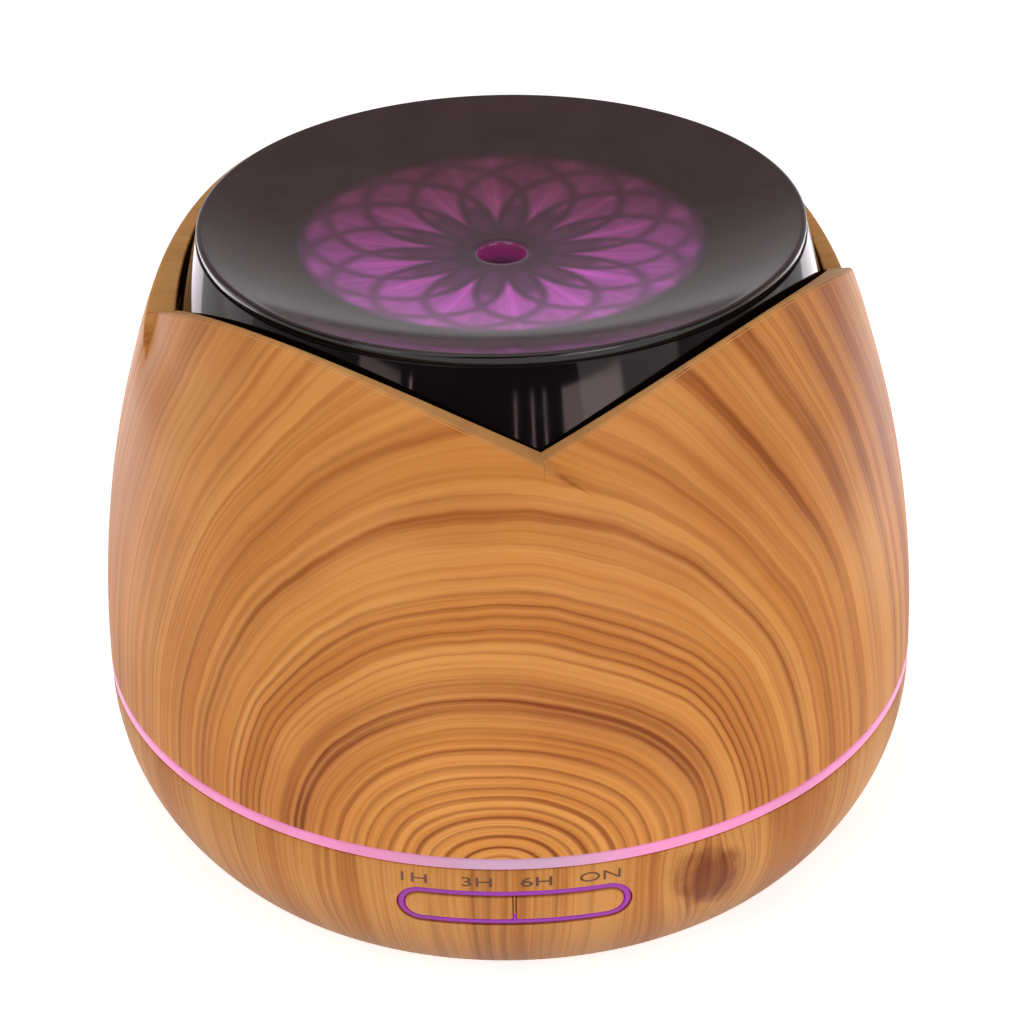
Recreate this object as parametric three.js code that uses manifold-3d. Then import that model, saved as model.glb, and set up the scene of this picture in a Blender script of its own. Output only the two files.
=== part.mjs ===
// Essential oil diffuser with a wood-grain body, in millimetres, +Z up, standing on z = 0.
// A lift-off cover with four overlapping petals carries a black drum and a dished, flower-patterned top.
// The base holds the light ring, the water tank, the ultrasonic disc, the fan and the two buttons.
// The front is -Y: angles round the axis are measured from the front towards +X.
import * as THREE from "three";
import { mergeVertices } from "three/addons/utils/BufferGeometryUtils.js";
import Module from "manifold-3d";

const wasm = await Module();
wasm.setup();

// ---- driving dimensions -------------------------------------------------------------------------
const GAP = 0.3; // between pieces that touch on the real object
const WALL = 3; // moulded outer shells

// Outer outline: flat underside, rounded corner, side arc up to the belly, then an elliptical crown.
const BODY_R = 84;
const BELLY_Z = 34;
const CROWN_H = 145; // semi-height of the ellipse that shapes everything above the belly
const SIDE_ARC_R = 43.8;
const CORNER_R = 10;
const BASE_Z = 2; // underside of the base, above the feet

// Parting line and light ring.
const RING_LOW = 36;
const RING_TOP = 38.9;

// Petals: four leaves whose edge is a plane curve, each standing proud of its right-hand neighbour.
const PETALS = 4;
const NOTCH_ANGLE = THREE.MathUtils.degToRad(5.6);
const NOTCH_Z = 114.8;
const PETAL_TOP = 129;
const TUCK = 1.6; // how far a petal's left end is tucked in under its neighbour
const LAP = 0.4; // how far its right end stands out
const LAP_FADE = 14; // depth below the notch over which both die away
const LEDGE_Z = 108; // ledge inside the petal shell that carries the drum
const LEDGE_H = 2.4;
const LEDGE_R = 58.5;
const SPIGOT_OUT = 77.9;
const SPIGOT_IN = 75.9;
const SPIGOT_LOW = 33;

// Drum and dish on top. The petals' inner face and the drum are both slightly conical.
const BORE_R = 64.4; // inner face of the petals at the notch
const BORE_TAPER = 0.2;
const DRUM_R = 62.8; // drum at the notch
const DRUM_TAPER = 0.235;
const DRUM_TOP = 130;
const DISH_R = 58.6;
const DISH_TOP = 131.6;
const DISH_WALL = 1.6;
const OUTLET_R = 4.6;
const NOZZLE_R = 9.6;
const FLOWER_R = 41;

// Water tank.
const TANK_OUT = 70;
const TANK_IN = 67.5;
const TANK_TOP = 88;
const TANK_FLOOR = 44;
const TANK_FLOOR_H = 2.5;
const DECK_LOW = 29;
const DECK_TOP = 31.5;
const DECK_R = 78;
const WELL_R = 16;
const WELL_FLOOR = 41;
const WELL_HOLE_R = 8.5;

// Buttons: one long rounded slot at the front, shared by two buttons.
const SLOT_Z = 26.3;
const SLOT_W = 44.2;
const SLOT_H = 9;
const SURROUND = 1.1; // width of the lit ring round the buttons
const BUTTON_GAP = 0.3;
const BUTTON_SPLIT = 0.9;
const BUTTON_SKIN = 2.4;
const STEM_START = 81.4;
const STEM_END = 79.8;
const SWITCH_X = 11;

// Fan and air duct, at the back of the base.
const FAN_Y = 28;
const FAN_SIZE = 40;
const FAN_LOW = 4.8;
const FAN_H = 10;
const DUCT_Y = 40;
const DUCT_W = 24;
const DUCT_D = 13;
const DUCT_WALL = 2;
const DUCT_TOP = 91;
const PLENUM_TOP = 24.3;

// Power inlet, at the back.
const JACK_Z = 16;
const JACK_BARREL_R = 3.7;

// Fasteners and feet.
const FOOT_R = 6;
const FOOT_RING = 50;
const POST_RING = 73;
const COVER_SCREW_RING = 61.2;
const BOTTOM_PLATE_R = 62;
const PLATE_SCREW_RING = 58;
const PLATE_SCREW_TURN = Math.PI / 8;
const PLATE_SCREW_SEAT = 3.7; // screw heads sink into the underside
const RETAINER_SCREW_RING = 14.6;

// Facets.
const ROUND_BIG = 56;
const ROUND_MID = 36;
const ROUND_SMALL = 8;

// ---- materials ----------------------------------------------------------------------------------
const material = (color, roughness, metalness = 0) =>
  new THREE.MeshStandardMaterial({ color, roughness, metalness });
const WOOD_GRAIN = material(0xc98545, 0.45);
const BLACK_GLOSS = material(0x120e10, 0.08);
const SMOKE = material(0x4a4044, 0.2);
const FLOWER = material(0xb05cc0, 0.35);
const LIT_RING = material(0xf3a3cc, 0.4);
const MILKY = material(0xe9e7e2, 0.35);
const WHITE_ABS = material(0xdedcd6, 0.5);
const SILICONE = material(0xd5d8d6, 0.7);
const RUBBER = material(0x1d1d1e, 0.85);
const STEEL = material(0xa9abae, 0.35, 0.9);
const BOARD = material(0x1f5a38, 0.5);
const DARK_PLASTIC = material(0x242427, 0.5);
const COPPER = material(0xb06a35, 0.4, 0.8);

// ---- solid helpers ------------------------------------------------------------------------------
function toSolid(geometry) {
  const bare = geometry.clone();
  bare.deleteAttribute("normal");
  bare.deleteAttribute("uv");
  const merged = mergeVertices(bare, 1e-3);
  return new wasm.Manifold(
    new wasm.Mesh({
      numProp: 3,
      vertProperties: merged.attributes.position.array,
      triVerts: new Uint32Array(merged.index.array),
    }),
  );
}

function toGeometry(solid) {
  const mesh = solid.getMesh();
  const geometry = new THREE.BufferGeometry();
  geometry.setAttribute("position", new THREE.BufferAttribute(mesh.vertProperties, 3));
  geometry.setIndex(new THREE.BufferAttribute(mesh.triVerts, 1));
  geometry.computeVertexNormals();
  return geometry;
}

const cut = (geometry, ...tools) =>
  toGeometry(tools.reduce((solid, tool) => solid.subtract(toSolid(tool)), toSolid(geometry)));
const join = (...pieces) =>
  toGeometry(pieces.slice(1).reduce((solid, piece) => solid.add(toSolid(piece)), toSolid(pieces[0])));
const common = (a, b) => toGeometry(toSolid(a).intersect(toSolid(b)));

// Turns an outline of [radius, height] points round the Z axis. The outline closes on itself or on the axis.
function turned(outline, segments = ROUND_MID, start = 0) {
  let area = 0;
  outline.forEach(([r, z], i) => {
    const [nextR, nextZ] = outline[(i + 1) % outline.length];
    area += r * nextZ - nextR * z;
  });
  const loop = area > 0 ? [...outline] : [...outline].reverse();
  const onAxis = loop.some(([r]) => r === 0);
  if (onAxis) {
    while (loop[0][0] !== 0 || loop[loop.length - 1][0] !== 0) loop.push(loop.shift());
  } else {
    loop.push(loop[0]);
  }
  const points = loop.map(([r, z]) => new THREE.Vector2(r, z));
  return new THREE.LatheGeometry(points, segments, start).rotateX(Math.PI / 2);
}

const tube = (outer, inner, low, high, segments) =>
  turned([[inner, low], [outer, low], [outer, high], [inner, high]], segments);
const disc = (radius, low, high, segments) =>
  turned([[0, low], [radius, low], [radius, high], [0, high]], segments);
const rod = (radius, low, high, x = 0, y = 0, segments = ROUND_SMALL) =>
  disc(radius, low, high, segments).translate(x, y, 0);
const box = (width, depth, low, high, x = 0, y = 0) =>
  new THREE.BoxGeometry(width, depth, high - low).translate(x, y, (low + high) / 2);

// A rounded rectangle in the XY plane, extruded from low to high.
function roundedPrism(width, depth, radius, low, high, x = 0, y = 0, curveSegments = 3) {
  const shape = new THREE.Shape();
  const [w, d] = [width / 2 - radius, depth / 2 - radius];
  shape.absarc(w, d, radius, 0, Math.PI / 2);
  shape.absarc(-w, d, radius, Math.PI / 2, Math.PI);
  shape.absarc(-w, -d, radius, Math.PI, 1.5 * Math.PI);
  shape.absarc(w, -d, radius, 1.5 * Math.PI, 2 * Math.PI);
  const options = { depth: high - low, bevelEnabled: false, curveSegments };
  return new THREE.ExtrudeGeometry(shape, options).translate(x, y, low);
}

// The same rounded rectangle standing up, facing the front, from y = -back to y = -front.
const frontPrism = (width, height, radius, back, front) =>
  roundedPrism(width, height, radius, back, front, 0, 0, 7).rotateX(Math.PI / 2).translate(0, 0, SLOT_Z);

const around = (count, ring, offset = 0) =>
  Array.from({ length: count }, (_, i) => {
    const angle = offset + (i * 2 * Math.PI) / count;
    return [ring * Math.sin(angle), -ring * Math.cos(angle)];
  });

// ---- outline of the body ------------------------------------------------------------------------
const ARC_CENTRE_R = BODY_R - SIDE_ARC_R;
const CORNER_Z = BASE_Z + CORNER_R;
const CORNER_CENTRE_R =
  ARC_CENTRE_R + Math.sqrt((SIDE_ARC_R - CORNER_R) ** 2 - (BELLY_Z - CORNER_Z) ** 2);
const CORNER_END_Z = BELLY_Z - ((BELLY_Z - CORNER_Z) * SIDE_ARC_R) / (SIDE_ARC_R - CORNER_R);

function outerRadius(z) {
  if (z >= BELLY_Z) return BODY_R * Math.sqrt(1 - ((z - BELLY_Z) / CROWN_H) ** 2);
  if (z >= CORNER_END_Z) return ARC_CENTRE_R + Math.sqrt(SIDE_ARC_R ** 2 - (BELLY_Z - z) ** 2);
  return CORNER_CENTRE_R + Math.sqrt(CORNER_R ** 2 - (CORNER_Z - z) ** 2);
}

// Points [radius, height] up the body between two heights, moved inwards by inset.
const bodyOutline = (low, high, steps, inset = 0) =>
  Array.from({ length: steps + 1 }, (_, i) => {
    const z = low + ((high - low) * i) / steps;
    return [outerRadius(z) - inset, z];
  });

// The base's side from its underside to a height, following the rounded corner evenly.
function baseOutline(high, inset, cornerSteps, sideSteps) {
  const cornerEnd = Math.atan2(CORNER_CENTRE_R - ARC_CENTRE_R, BELLY_Z - CORNER_Z);
  const corner = Array.from({ length: cornerSteps + 1 }, (_, i) => {
    const angle = (cornerEnd * i) / cornerSteps;
    const radius = CORNER_R - inset;
    return [CORNER_CENTRE_R + radius * Math.sin(angle), CORNER_Z - radius * Math.cos(angle)];
  });
  const sideStart = Math.asin((BELLY_Z - CORNER_END_Z) / SIDE_ARC_R);
  const side = Array.from({ length: sideSteps }, (_, i) => {
    const angle = sideStart * (1 - (i + 1) / sideSteps);
    const radius = SIDE_ARC_R - inset;
    return [ARC_CENTRE_R + radius * Math.cos(angle), BELLY_Z - radius * Math.sin(angle)];
  });
  return [...corner, ...side, [outerRadius(high) - inset, high]];
}

// ---- cover --------------------------------------------------------------------------------------
// Where an angle lies across its petal: -0.5 at the left end, +0.5 just before the next notch.
function acrossPetal(angle) {
  const turns = (PETALS * (angle - NOTCH_ANGLE)) / (2 * Math.PI);
  return turns - Math.floor(turns + 1e-6) - 0.5;
}

// Spreads a petal's columns so that the last one ends just short of the next notch, as a crisp step.
function spreadColumn(angle) {
  const columns = ROUND_BIG / PETALS;
  const along = acrossPetal(angle) + 0.5;
  const spread = Math.min((along * columns) / (columns - 1), 0.992);
  return angle + ((spread - along) * 2 * Math.PI) / PETALS;
}

// Height of the petals' edge at an angle: a curve that peaks in the middle of each petal.
function rimHeight(angle) {
  const end = Math.cos(Math.PI / PETALS);
  const rise = (Math.cos((acrossPetal(angle) * 2 * Math.PI) / PETALS) - end) / (1 - end);
  return NOTCH_Z + (PETAL_TOP - NOTCH_Z) * Math.max(rise, 0);
}

const boreRadius = (z) => BORE_R - BORE_TAPER * (z - NOTCH_Z);
const drumRadius = (z) => DRUM_R - DRUM_TAPER * (z - NOTCH_Z);

function petalShell() {
  const low = RING_TOP + GAP;
  const nominalTop = 120;
  const ledgeTop = LEDGE_Z + LEDGE_H;
  const outside = [...bodyOutline(low, ledgeTop, 6), ...bodyOutline(ledgeTop + 3, nominalTop, 2)];
  const inside = [
    [boreRadius(nominalTop), nominalTop],
    [boreRadius(ledgeTop + 4), ledgeTop + 4],
    [boreRadius(ledgeTop), ledgeTop],
    [LEDGE_R, ledgeTop],
    [LEDGE_R, LEDGE_Z],
    ...bodyOutline(44, LEDGE_Z, 3, WALL).reverse(),
    [SPIGOT_IN, 41.5],
    [SPIGOT_IN, SPIGOT_LOW],
    [SPIGOT_OUT, SPIGOT_LOW],
    [SPIGOT_OUT, low],
  ];
  const shell = turned([...outside, ...inside], ROUND_BIG, NOTCH_ANGLE);
  const position = shell.attributes.position;
  for (let i = 0; i < position.count; i += 1) {
    const [x, y, z] = [position.getX(i), position.getY(i), position.getZ(i)];
    const radius = Math.hypot(x, y);
    const angle = spreadColumn(Math.atan2(x, -y));
    const isOutside = radius > outerRadius(z) - WALL / 2;
    const stretch = z > ledgeTop ? (rimHeight(angle) - ledgeTop) / (nominalTop - ledgeTop) : 1;
    const newZ = z > ledgeTop ? ledgeTop + (z - ledgeTop) * stretch : z;
    const fade = THREE.MathUtils.smoothstep(newZ, NOTCH_Z - LAP_FADE, NOTCH_Z);
    const offset = THREE.MathUtils.lerp(-TUCK, LAP, acrossPetal(angle) + 0.5) * fade;
    const inside = z > ledgeTop ? boreRadius(newZ) : radius;
    const newRadius = isOutside ? outerRadius(newZ) + offset : inside;
    position.setXYZ(i, newRadius * Math.sin(angle), -newRadius * Math.cos(angle), newZ);
  }
  const holes = around(PETALS, COVER_SCREW_RING).map(([x, y]) =>
    rod(1.8, LEDGE_Z - 1, ledgeTop + 1, x, y),
  );
  return cut(shell, ...holes);
}

const FLANGE_LOW = LEDGE_Z + LEDGE_H + GAP;

// Black drum: a cone that follows the inside of the petals, with a foot flange and a seat for the dish.
function innerDrum() {
  const wall = 1.8;
  const flangeTop = FLANGE_LOW + 4;
  const seatZ = 126.6;
  const drum = turned(
    [
      [drumRadius(FLANGE_LOW), FLANGE_LOW],
      [drumRadius(119), 119],
      [drumRadius(DRUM_TOP - 1), DRUM_TOP - 1],
      [DISH_R + 0.7, DRUM_TOP - 0.2],
      [DISH_R + GAP, DRUM_TOP],
      [DISH_R + GAP, seatZ + 1.4],
      [56.5, seatZ + 1.4],
      [54.5, seatZ],
      [54.5, seatZ - 1.8],
      [drumRadius(seatZ) - wall, seatZ - 1.8],
      [drumRadius(flangeTop) - wall, flangeTop],
      [LEDGE_R, flangeTop],
      [LEDGE_R, FLANGE_LOW],
    ],
    ROUND_BIG,
    NOTCH_ANGLE,
  );
  const pilots = around(PETALS, COVER_SCREW_RING).map(([x, y]) =>
    rod(1.45, FLANGE_LOW - 1, FLANGE_LOW + 3.4, x, y),
  );
  return cut(drum, ...pilots);
}

// Upper surface of the dish, as height against radius.
const dishCurve = new THREE.SplineCurve([
  new THREE.Vector2(OUTLET_R + 0.8, 123.1),
  new THREE.Vector2(22, 123.9),
  new THREE.Vector2(FLOWER_R - 1, 126.1),
  new THREE.Vector2(50, 128.8),
  new THREE.Vector2(DISH_R - 1.2, 131.2),
]);

function dishTop() {
  const upper = dishCurve.getPoints(6).map((p) => [p.x, p.y]);
  const lower = dishCurve.getPoints(3).map((p) => [Math.min(p.x, 53.6), p.y - DISH_WALL]).reverse();
  return turned(
    [
      [OUTLET_R, 122.5],
      ...upper,
      [DISH_R - 0.7, DISH_TOP],
      [DISH_R - 0.1, DISH_TOP - 0.3],
      [DISH_R, DISH_TOP - 0.9],
      [DISH_R, 128.4],
      [56.4, 128.4],
      ...lower.slice(1, -1),
      [OUTLET_R + 1.5, 121.5],
      [OUTLET_R + 1.5, 117],
      [OUTLET_R, 117],
    ],
    ROUND_BIG,
  );
}

// Light-guide plate that carries the flower pattern, just under the dish.
function flowerPlate() {
  const drop = DISH_WALL + GAP;
  const points = dishCurve.getPoints(9).filter((p) => p.x > 12 && p.x < FLOWER_R);
  const upper = points.map((p) => [p.x, p.y - drop]);
  const lower = points.map((p) => [p.x, p.y - drop - 1.2]).reverse();
  return turned([...upper, ...lower], ROUND_MID);
}

// Mist nozzle: a straight chimney from just over the water to the outlet.
function mistNozzle() {
  return turned(
    [
      [NOZZLE_R - 1.6, 121],
      [NOZZLE_R + 3, 121],
      [NOZZLE_R + 3, 119.4],
      [NOZZLE_R, 119.4],
      [NOZZLE_R, 93],
      [NOZZLE_R - 1.6, 93],
    ],
    24,
  );
}

const nozzleSeal = () => tube(NOZZLE_R + 2.6, NOZZLE_R + GAP, 117.4, 119.1, 24);

function screw(headRadius, headHeight, shankRadius, length) {
  return turned(
    [
      [0, -headHeight],
      [headRadius * 0.7, -headHeight],
      [headRadius, -headHeight * 0.45],
      [headRadius, 0],
      [shankRadius, 0],
      [shankRadius, length - shankRadius],
      [0, length],
    ],
    ROUND_SMALL,
  );
}

// ---- base ---------------------------------------------------------------------------------------
const slotPrism = (back, front, shrink) =>
  frontPrism(SLOT_W - shrink, SLOT_H - shrink, (SLOT_H - shrink) / 2 - 0.01, back, front);

function lowerShell() {
  const high = RING_LOW - GAP;
  const underside = BOTTOM_PLATE_R + GAP;
  const shell = turned(
    [
      [underside, BASE_Z],
      ...baseOutline(high, 0, 4, 4),
      ...baseOutline(high, WALL, 2, 3).reverse(),
      [PLATE_SCREW_RING - 3.5, BASE_Z + WALL],
      [PLATE_SCREW_RING - 3.5, BASE_Z + WALL - 0.2],
      [underside, BASE_Z + WALL - 0.2],
    ],
    ROUND_BIG,
  );
  const clip = turned([[0, BASE_Z + 0.5], ...baseOutline(high, 0.8, 4, 3), [0, high]], ROUND_MID);
  const posts = around(4, POST_RING, Math.PI / 4).map(([x, y]) =>
    common(rod(3.4, BASE_Z + 1, DECK_LOW - GAP, x, y), clip),
  );
  const bosses = around(4, PLATE_SCREW_RING, PLATE_SCREW_TURN).map(([x, y]) => rod(3.4, BASE_Z + WALL - 0.2, 11, x, y));
  const pilots = [
    ...around(4, POST_RING, Math.PI / 4).map(([x, y]) => rod(1.35, 18, DECK_LOW + 1, x, y)),
    ...around(4, PLATE_SCREW_RING, PLATE_SCREW_TURN).map(([x, y]) => rod(1.35, 0, 9.5, x, y)),
  ];
  const jackHole = rod(JACK_BARREL_R + GAP, 70, 90, 0, 0, 24).rotateX(-Math.PI / 2).translate(0, 0, JACK_Z);
  return cut(join(shell, ...posts, ...bosses), ...pilots, slotPrism(70, 90, -2 * GAP), jackHole);
}

// Ring of milky plastic at the parting line, with a skirt that takes in the light.
const lightRing = () =>
  turned(
    [
      [78.4, 31],
      [80.2, 31],
      [80.2, RING_LOW],
      [BODY_R - 0.35, RING_LOW],
      [BODY_R, RING_LOW + 0.5],
      [BODY_R, RING_TOP - 0.5],
      [BODY_R - 0.35, RING_TOP],
      [78.4, RING_TOP],
    ],
    ROUND_BIG,
  );

function waterTank() {
  const floorLow = TANK_FLOOR - TANK_FLOOR_H;
  const tank = turned(
    [
      [WELL_HOLE_R, WELL_FLOOR - TANK_FLOOR_H],
      [WELL_R + 2, WELL_FLOOR - TANK_FLOOR_H],
      [WELL_R + 3, floorLow],
      [TANK_IN, floorLow],
      [TANK_IN, DECK_LOW],
      [DECK_R, DECK_LOW],
      [DECK_R, DECK_TOP],
      [TANK_OUT, DECK_TOP],
      [TANK_OUT, TANK_TOP - 0.8],
      [TANK_OUT - 0.8, TANK_TOP],
      [TANK_IN + 0.6, TANK_TOP],
      [TANK_IN, TANK_TOP - 0.6],
      [TANK_IN, TANK_FLOOR + 7],
      [TANK_IN - 2, TANK_FLOOR + 2],
      [TANK_IN - 7, TANK_FLOOR],
      [WELL_R + 1, TANK_FLOOR],
      [WELL_R, WELL_FLOOR],
      [WELL_HOLE_R, WELL_FLOOR],
    ],
    48,
  );
  const bosses = around(3, RETAINER_SCREW_RING).map(([x, y]) => rod(2.4, 35, 39, x, y));
  const pilots = around(3, RETAINER_SCREW_RING).map(([x, y]) => rod(1.15, 34, 39.4, x, y));
  const deckHoles = around(4, POST_RING, Math.PI / 4).map(([x, y]) => rod(1.8, DECK_LOW - 1, DECK_TOP + 1, x, y));
  const ductHole = roundedPrism(DUCT_W + 2 * GAP, DUCT_D + 2 * GAP, 4, 36, 50, 0, DUCT_Y);
  return cut(join(tank, ...bosses), ...pilots, ...deckHoles, ductHole);
}

const transducerSeal = () => tube(11.6, 7.2, 36.4, 38.2, 32);
const transducerDisc = () => disc(10, 34.9, 36.1, 32);

function transducerRetainer() {
  const plate = turned([[6, 33], [18, 33], [18, 34.6], [6, 34.6]], 32);
  const holes = around(3, RETAINER_SCREW_RING).map(([x, y]) => rod(1.5, 32, 36, x, y));
  return cut(plate, ...holes);
}

// Air duct: a plenum over the fan and a flat chimney that rises through the tank above the water line.
function airDuct() {
  const low = FAN_LOW + FAN_H + GAP;
  const side = 38;
  const outer = join(
    roundedPrism(side, side, 3, low, PLENUM_TOP, 0, FAN_Y),
    roundedPrism(DUCT_W, DUCT_D, 4, PLENUM_TOP - 1, DUCT_TOP, 0, DUCT_Y),
  );
  const inset = 2 * DUCT_WALL;
  return cut(
    outer,
    roundedPrism(side - inset, side - inset, 2, low - 1, PLENUM_TOP - 1.5, 0, FAN_Y),
    roundedPrism(DUCT_W - inset, DUCT_D - inset, 2, PLENUM_TOP - 3, DUCT_TOP + 1, 0, DUCT_Y),
  );
}

// Gasket that seals the duct to the tank floor.
const ductGasket = () =>
  cut(
    roundedPrism(DUCT_W + 5, DUCT_D + 5, 5, TANK_FLOOR + GAP, TANK_FLOOR + 2.5, 0, DUCT_Y),
    roundedPrism(DUCT_W + 2 * GAP, DUCT_D + 2 * GAP, 4, TANK_FLOOR, TANK_FLOOR + 4, 0, DUCT_Y),
  );

// Hood on the duct: closed on top against splashes, open through slots at the sides.
function ductCap() {
  const low = DUCT_TOP - 6;
  const high = DUCT_TOP + 6;
  const outer = roundedPrism(DUCT_W + 3.6, DUCT_D + 3.6, 5, low, high, 0, DUCT_Y);
  const hollow = roundedPrism(DUCT_W + 0.8, DUCT_D + 0.8, 4, low - 1, high - 1.5, 0, DUCT_Y);
  const slots = [-6, 0, 6].map((x) => box(3.6, 40, DUCT_TOP + 0.8, DUCT_TOP + 3.6, x, DUCT_Y));
  return cut(outer, hollow, ...slots);
}

const fanCorners = [[-16, -16], [16, -16], [16, 16], [-16, 16]].map(([x, y]) => [x, y + FAN_Y]);

function fanFrame() {
  const high = FAN_LOW + FAN_H;
  const frame = roundedPrism(FAN_SIZE, FAN_SIZE, 3, FAN_LOW, high, 0, FAN_Y);
  const bore = rod(18.6, FAN_LOW - 1, high + 1, 0, FAN_Y, ROUND_MID);
  const holes = fanCorners.map(([x, y]) => rod(1.75, FAN_LOW - 1, high + 1, x, y));
  const struts = [0, 1, 2].map((i) =>
    box(2, 38, FAN_LOW, FAN_LOW + 1.2).rotateZ((i * Math.PI) / 3).translate(0, FAN_Y, 0),
  );
  const hub = rod(7, FAN_LOW, FAN_LOW + 1.4, 0, FAN_Y, 24);
  const axle = rod(1, FAN_LOW, high - 2.2, 0, FAN_Y);
  return join(cut(frame, bore, ...holes), ...struts, hub, axle);
}

function fanRotor() {
  const low = FAN_LOW + 1.9;
  const high = FAN_LOW + FAN_H - 1;
  const hub = cut(rod(8.5, low, high, 0, 0, 24), rod(1.4, low - 1, high - 0.9));
  const blades = Array.from({ length: 7 }, (_, i) =>
    new THREE.BoxGeometry(10, 1, high - low - 2)
      .rotateX(0.55)
      .translate(12.6, 0, (low + high) / 2)
      .rotateZ((i * 2 * Math.PI) / 7),
  );
  return join(hub, ...blades);
}

function bottomPlate() {
  const top = BASE_Z + 2.5;
  const plate = disc(BOTTOM_PLATE_R, BASE_Z, top, 48);
  const boardPosts = [[-25, -36], [25, -36], [-25, -8], [25, -8]].map(([x, y]) =>
    rod(2.2, top - 0.5, 9.7, x, y),
  );
  const fanPosts = fanCorners.map(([x, y]) => rod(1.3, top - 0.5, FAN_LOW + 6, x, y));
  const slots = [-15, -10, -5, 0, 5, 10, 15].map((x) =>
    box(2.6, 2 * Math.sqrt(18 ** 2 - x ** 2), BASE_Z - 1, top + 0.2, x, FAN_Y),
  );
  const screwSpots = around(4, PLATE_SCREW_RING, PLATE_SCREW_TURN);
  const holes = screwSpots.map(([x, y]) => rod(1.8, 0, top + 1, x, y));
  const sinks = screwSpots.map(([x, y]) => rod(3, 0, PLATE_SCREW_SEAT, x, y));
  const recess = around(4, FOOT_RING, Math.PI / 4).map(([x, y]) => rod(FOOT_R + GAP, 0, BASE_Z + 0.8, x, y, 24));
  const plain = cut(plate, ...slots, ...holes, ...sinks, ...recess);
  return join(plain, ...boardPosts, ...fanPosts);
}

const foot = () =>
  turned([[0, 0], [FOOT_R - 0.6, 0], [FOOT_R, 0.5], [FOOT_R, BASE_Z + 0.5], [0, BASE_Z + 0.5]], 24);

// Power inlet: a block behind the wall and a round socket with a centre pin.
function dcJack() {
  const front = outerRadius(JACK_Z) - 1;
  const block = box(9, 11, -5.5, 5.5, 0, 67);
  const along = (radius, from, to, segments) => rod(radius, from, to, 0, 0, segments).rotateX(-Math.PI / 2);
  const body = join(block, along(JACK_BARREL_R, 71, front, 24));
  return join(cut(body, along(2.8, 64, front + 1, 20)), along(1, 63, front - 1, 10)).translate(0, 0, JACK_Z);
}

// A skin of the base's side, used to shape what sits flush in it.
const sideSkin = (inset, depth) =>
  turned([...bodyOutline(16, RING_LOW, 6, inset), ...bodyOutline(16, RING_LOW, 6, inset + depth).reverse()], ROUND_BIG);

// Lit ring of clear plastic round the two buttons.
function buttonSurround() {
  const ring = common(slotPrism(70, 90, 0), sideSkin(0.25, BUTTON_SKIN));
  return cut(ring, slotPrism(60, 95, 2 * SURROUND));
}

// One of the two buttons: half of the rounded slot, flush with the side, with a stem to its switch.
function button(side) {
  const shrink = 2 * (SURROUND + BUTTON_GAP);
  const half = box(40, 40, 10, 40, side * (20 + BUTTON_SPLIT / 2), -80);
  const cap = common(common(slotPrism(70, 90, shrink), sideSkin(0, 2)), half);
  const length = STEM_START - STEM_END;
  const stem = box(4, length, SLOT_Z - 2.4, SLOT_Z + 0.8, side * SWITCH_X, -(STEM_START + STEM_END) / 2);
  return join(cap, stem);
}

const buttonBoard = () => box(40, 1.6, 19, 28.6, 0, -73.8);
function tactSwitch() {
  const body = box(6, 3.6, -3, 3, 0, 1.8);
  const plunger = rod(1.7, 0, 4.3).rotateX(-Math.PI / 2);
  return join(body, plunger);
}

const mainBoard = () => cut(
  box(58, 36, 10, 11.6, 0, -22),
  roundedPrism(8, 8, 1, 9, 13, 0, -39),
);
const driverCoil = () => turned([[2.5, 0], [6.5, 0], [6.5, 1.2], [5, 1.2], [5, 7], [6.5, 7], [6.5, 8.2], [2.5, 8.2]], 20);
const capacitor = () => turned([[0, 0], [4, 0], [4, 10], [3.4, 10.6], [0, 10.6]], 20);

const ledBoard = () => tube(69.2, 57, 27.4, 28.6, ROUND_MID);
const led = () => join(box(3.4, 3.4, 0, 0.9), rod(1.4, 0.5, 1.4));

// ---- assembly -----------------------------------------------------------------------------------
function piece(name, geometry, look, x = 0, y = 0, z = 0, turn = 0) {
  const mesh = new THREE.Mesh(geometry, look);
  mesh.name = name;
  mesh.position.set(x, y, z);
  mesh.rotation.z = turn;
  return mesh;
}

const diffuser = new THREE.Group();
const cover = new THREE.Group();
const base = new THREE.Group();
diffuser.add(cover, base);

cover.add(
  piece("petal_shell", petalShell(), WOOD_GRAIN),
  piece("inner_drum", innerDrum(), BLACK_GLOSS),
  piece("dish_top", dishTop(), SMOKE),
  piece("flower_plate", flowerPlate(), FLOWER),
  piece("mist_nozzle", mistNozzle(), MILKY),
  piece("nozzle_seal", nozzleSeal(), SILICONE),
);
around(PETALS, COVER_SCREW_RING).forEach(([x, y], i) =>
  cover.add(piece(`cover_screw_${i + 1}`, screw(2.6, 1.8, 1.25, 5), STEEL, x, y, LEDGE_Z - GAP)),
);

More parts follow.
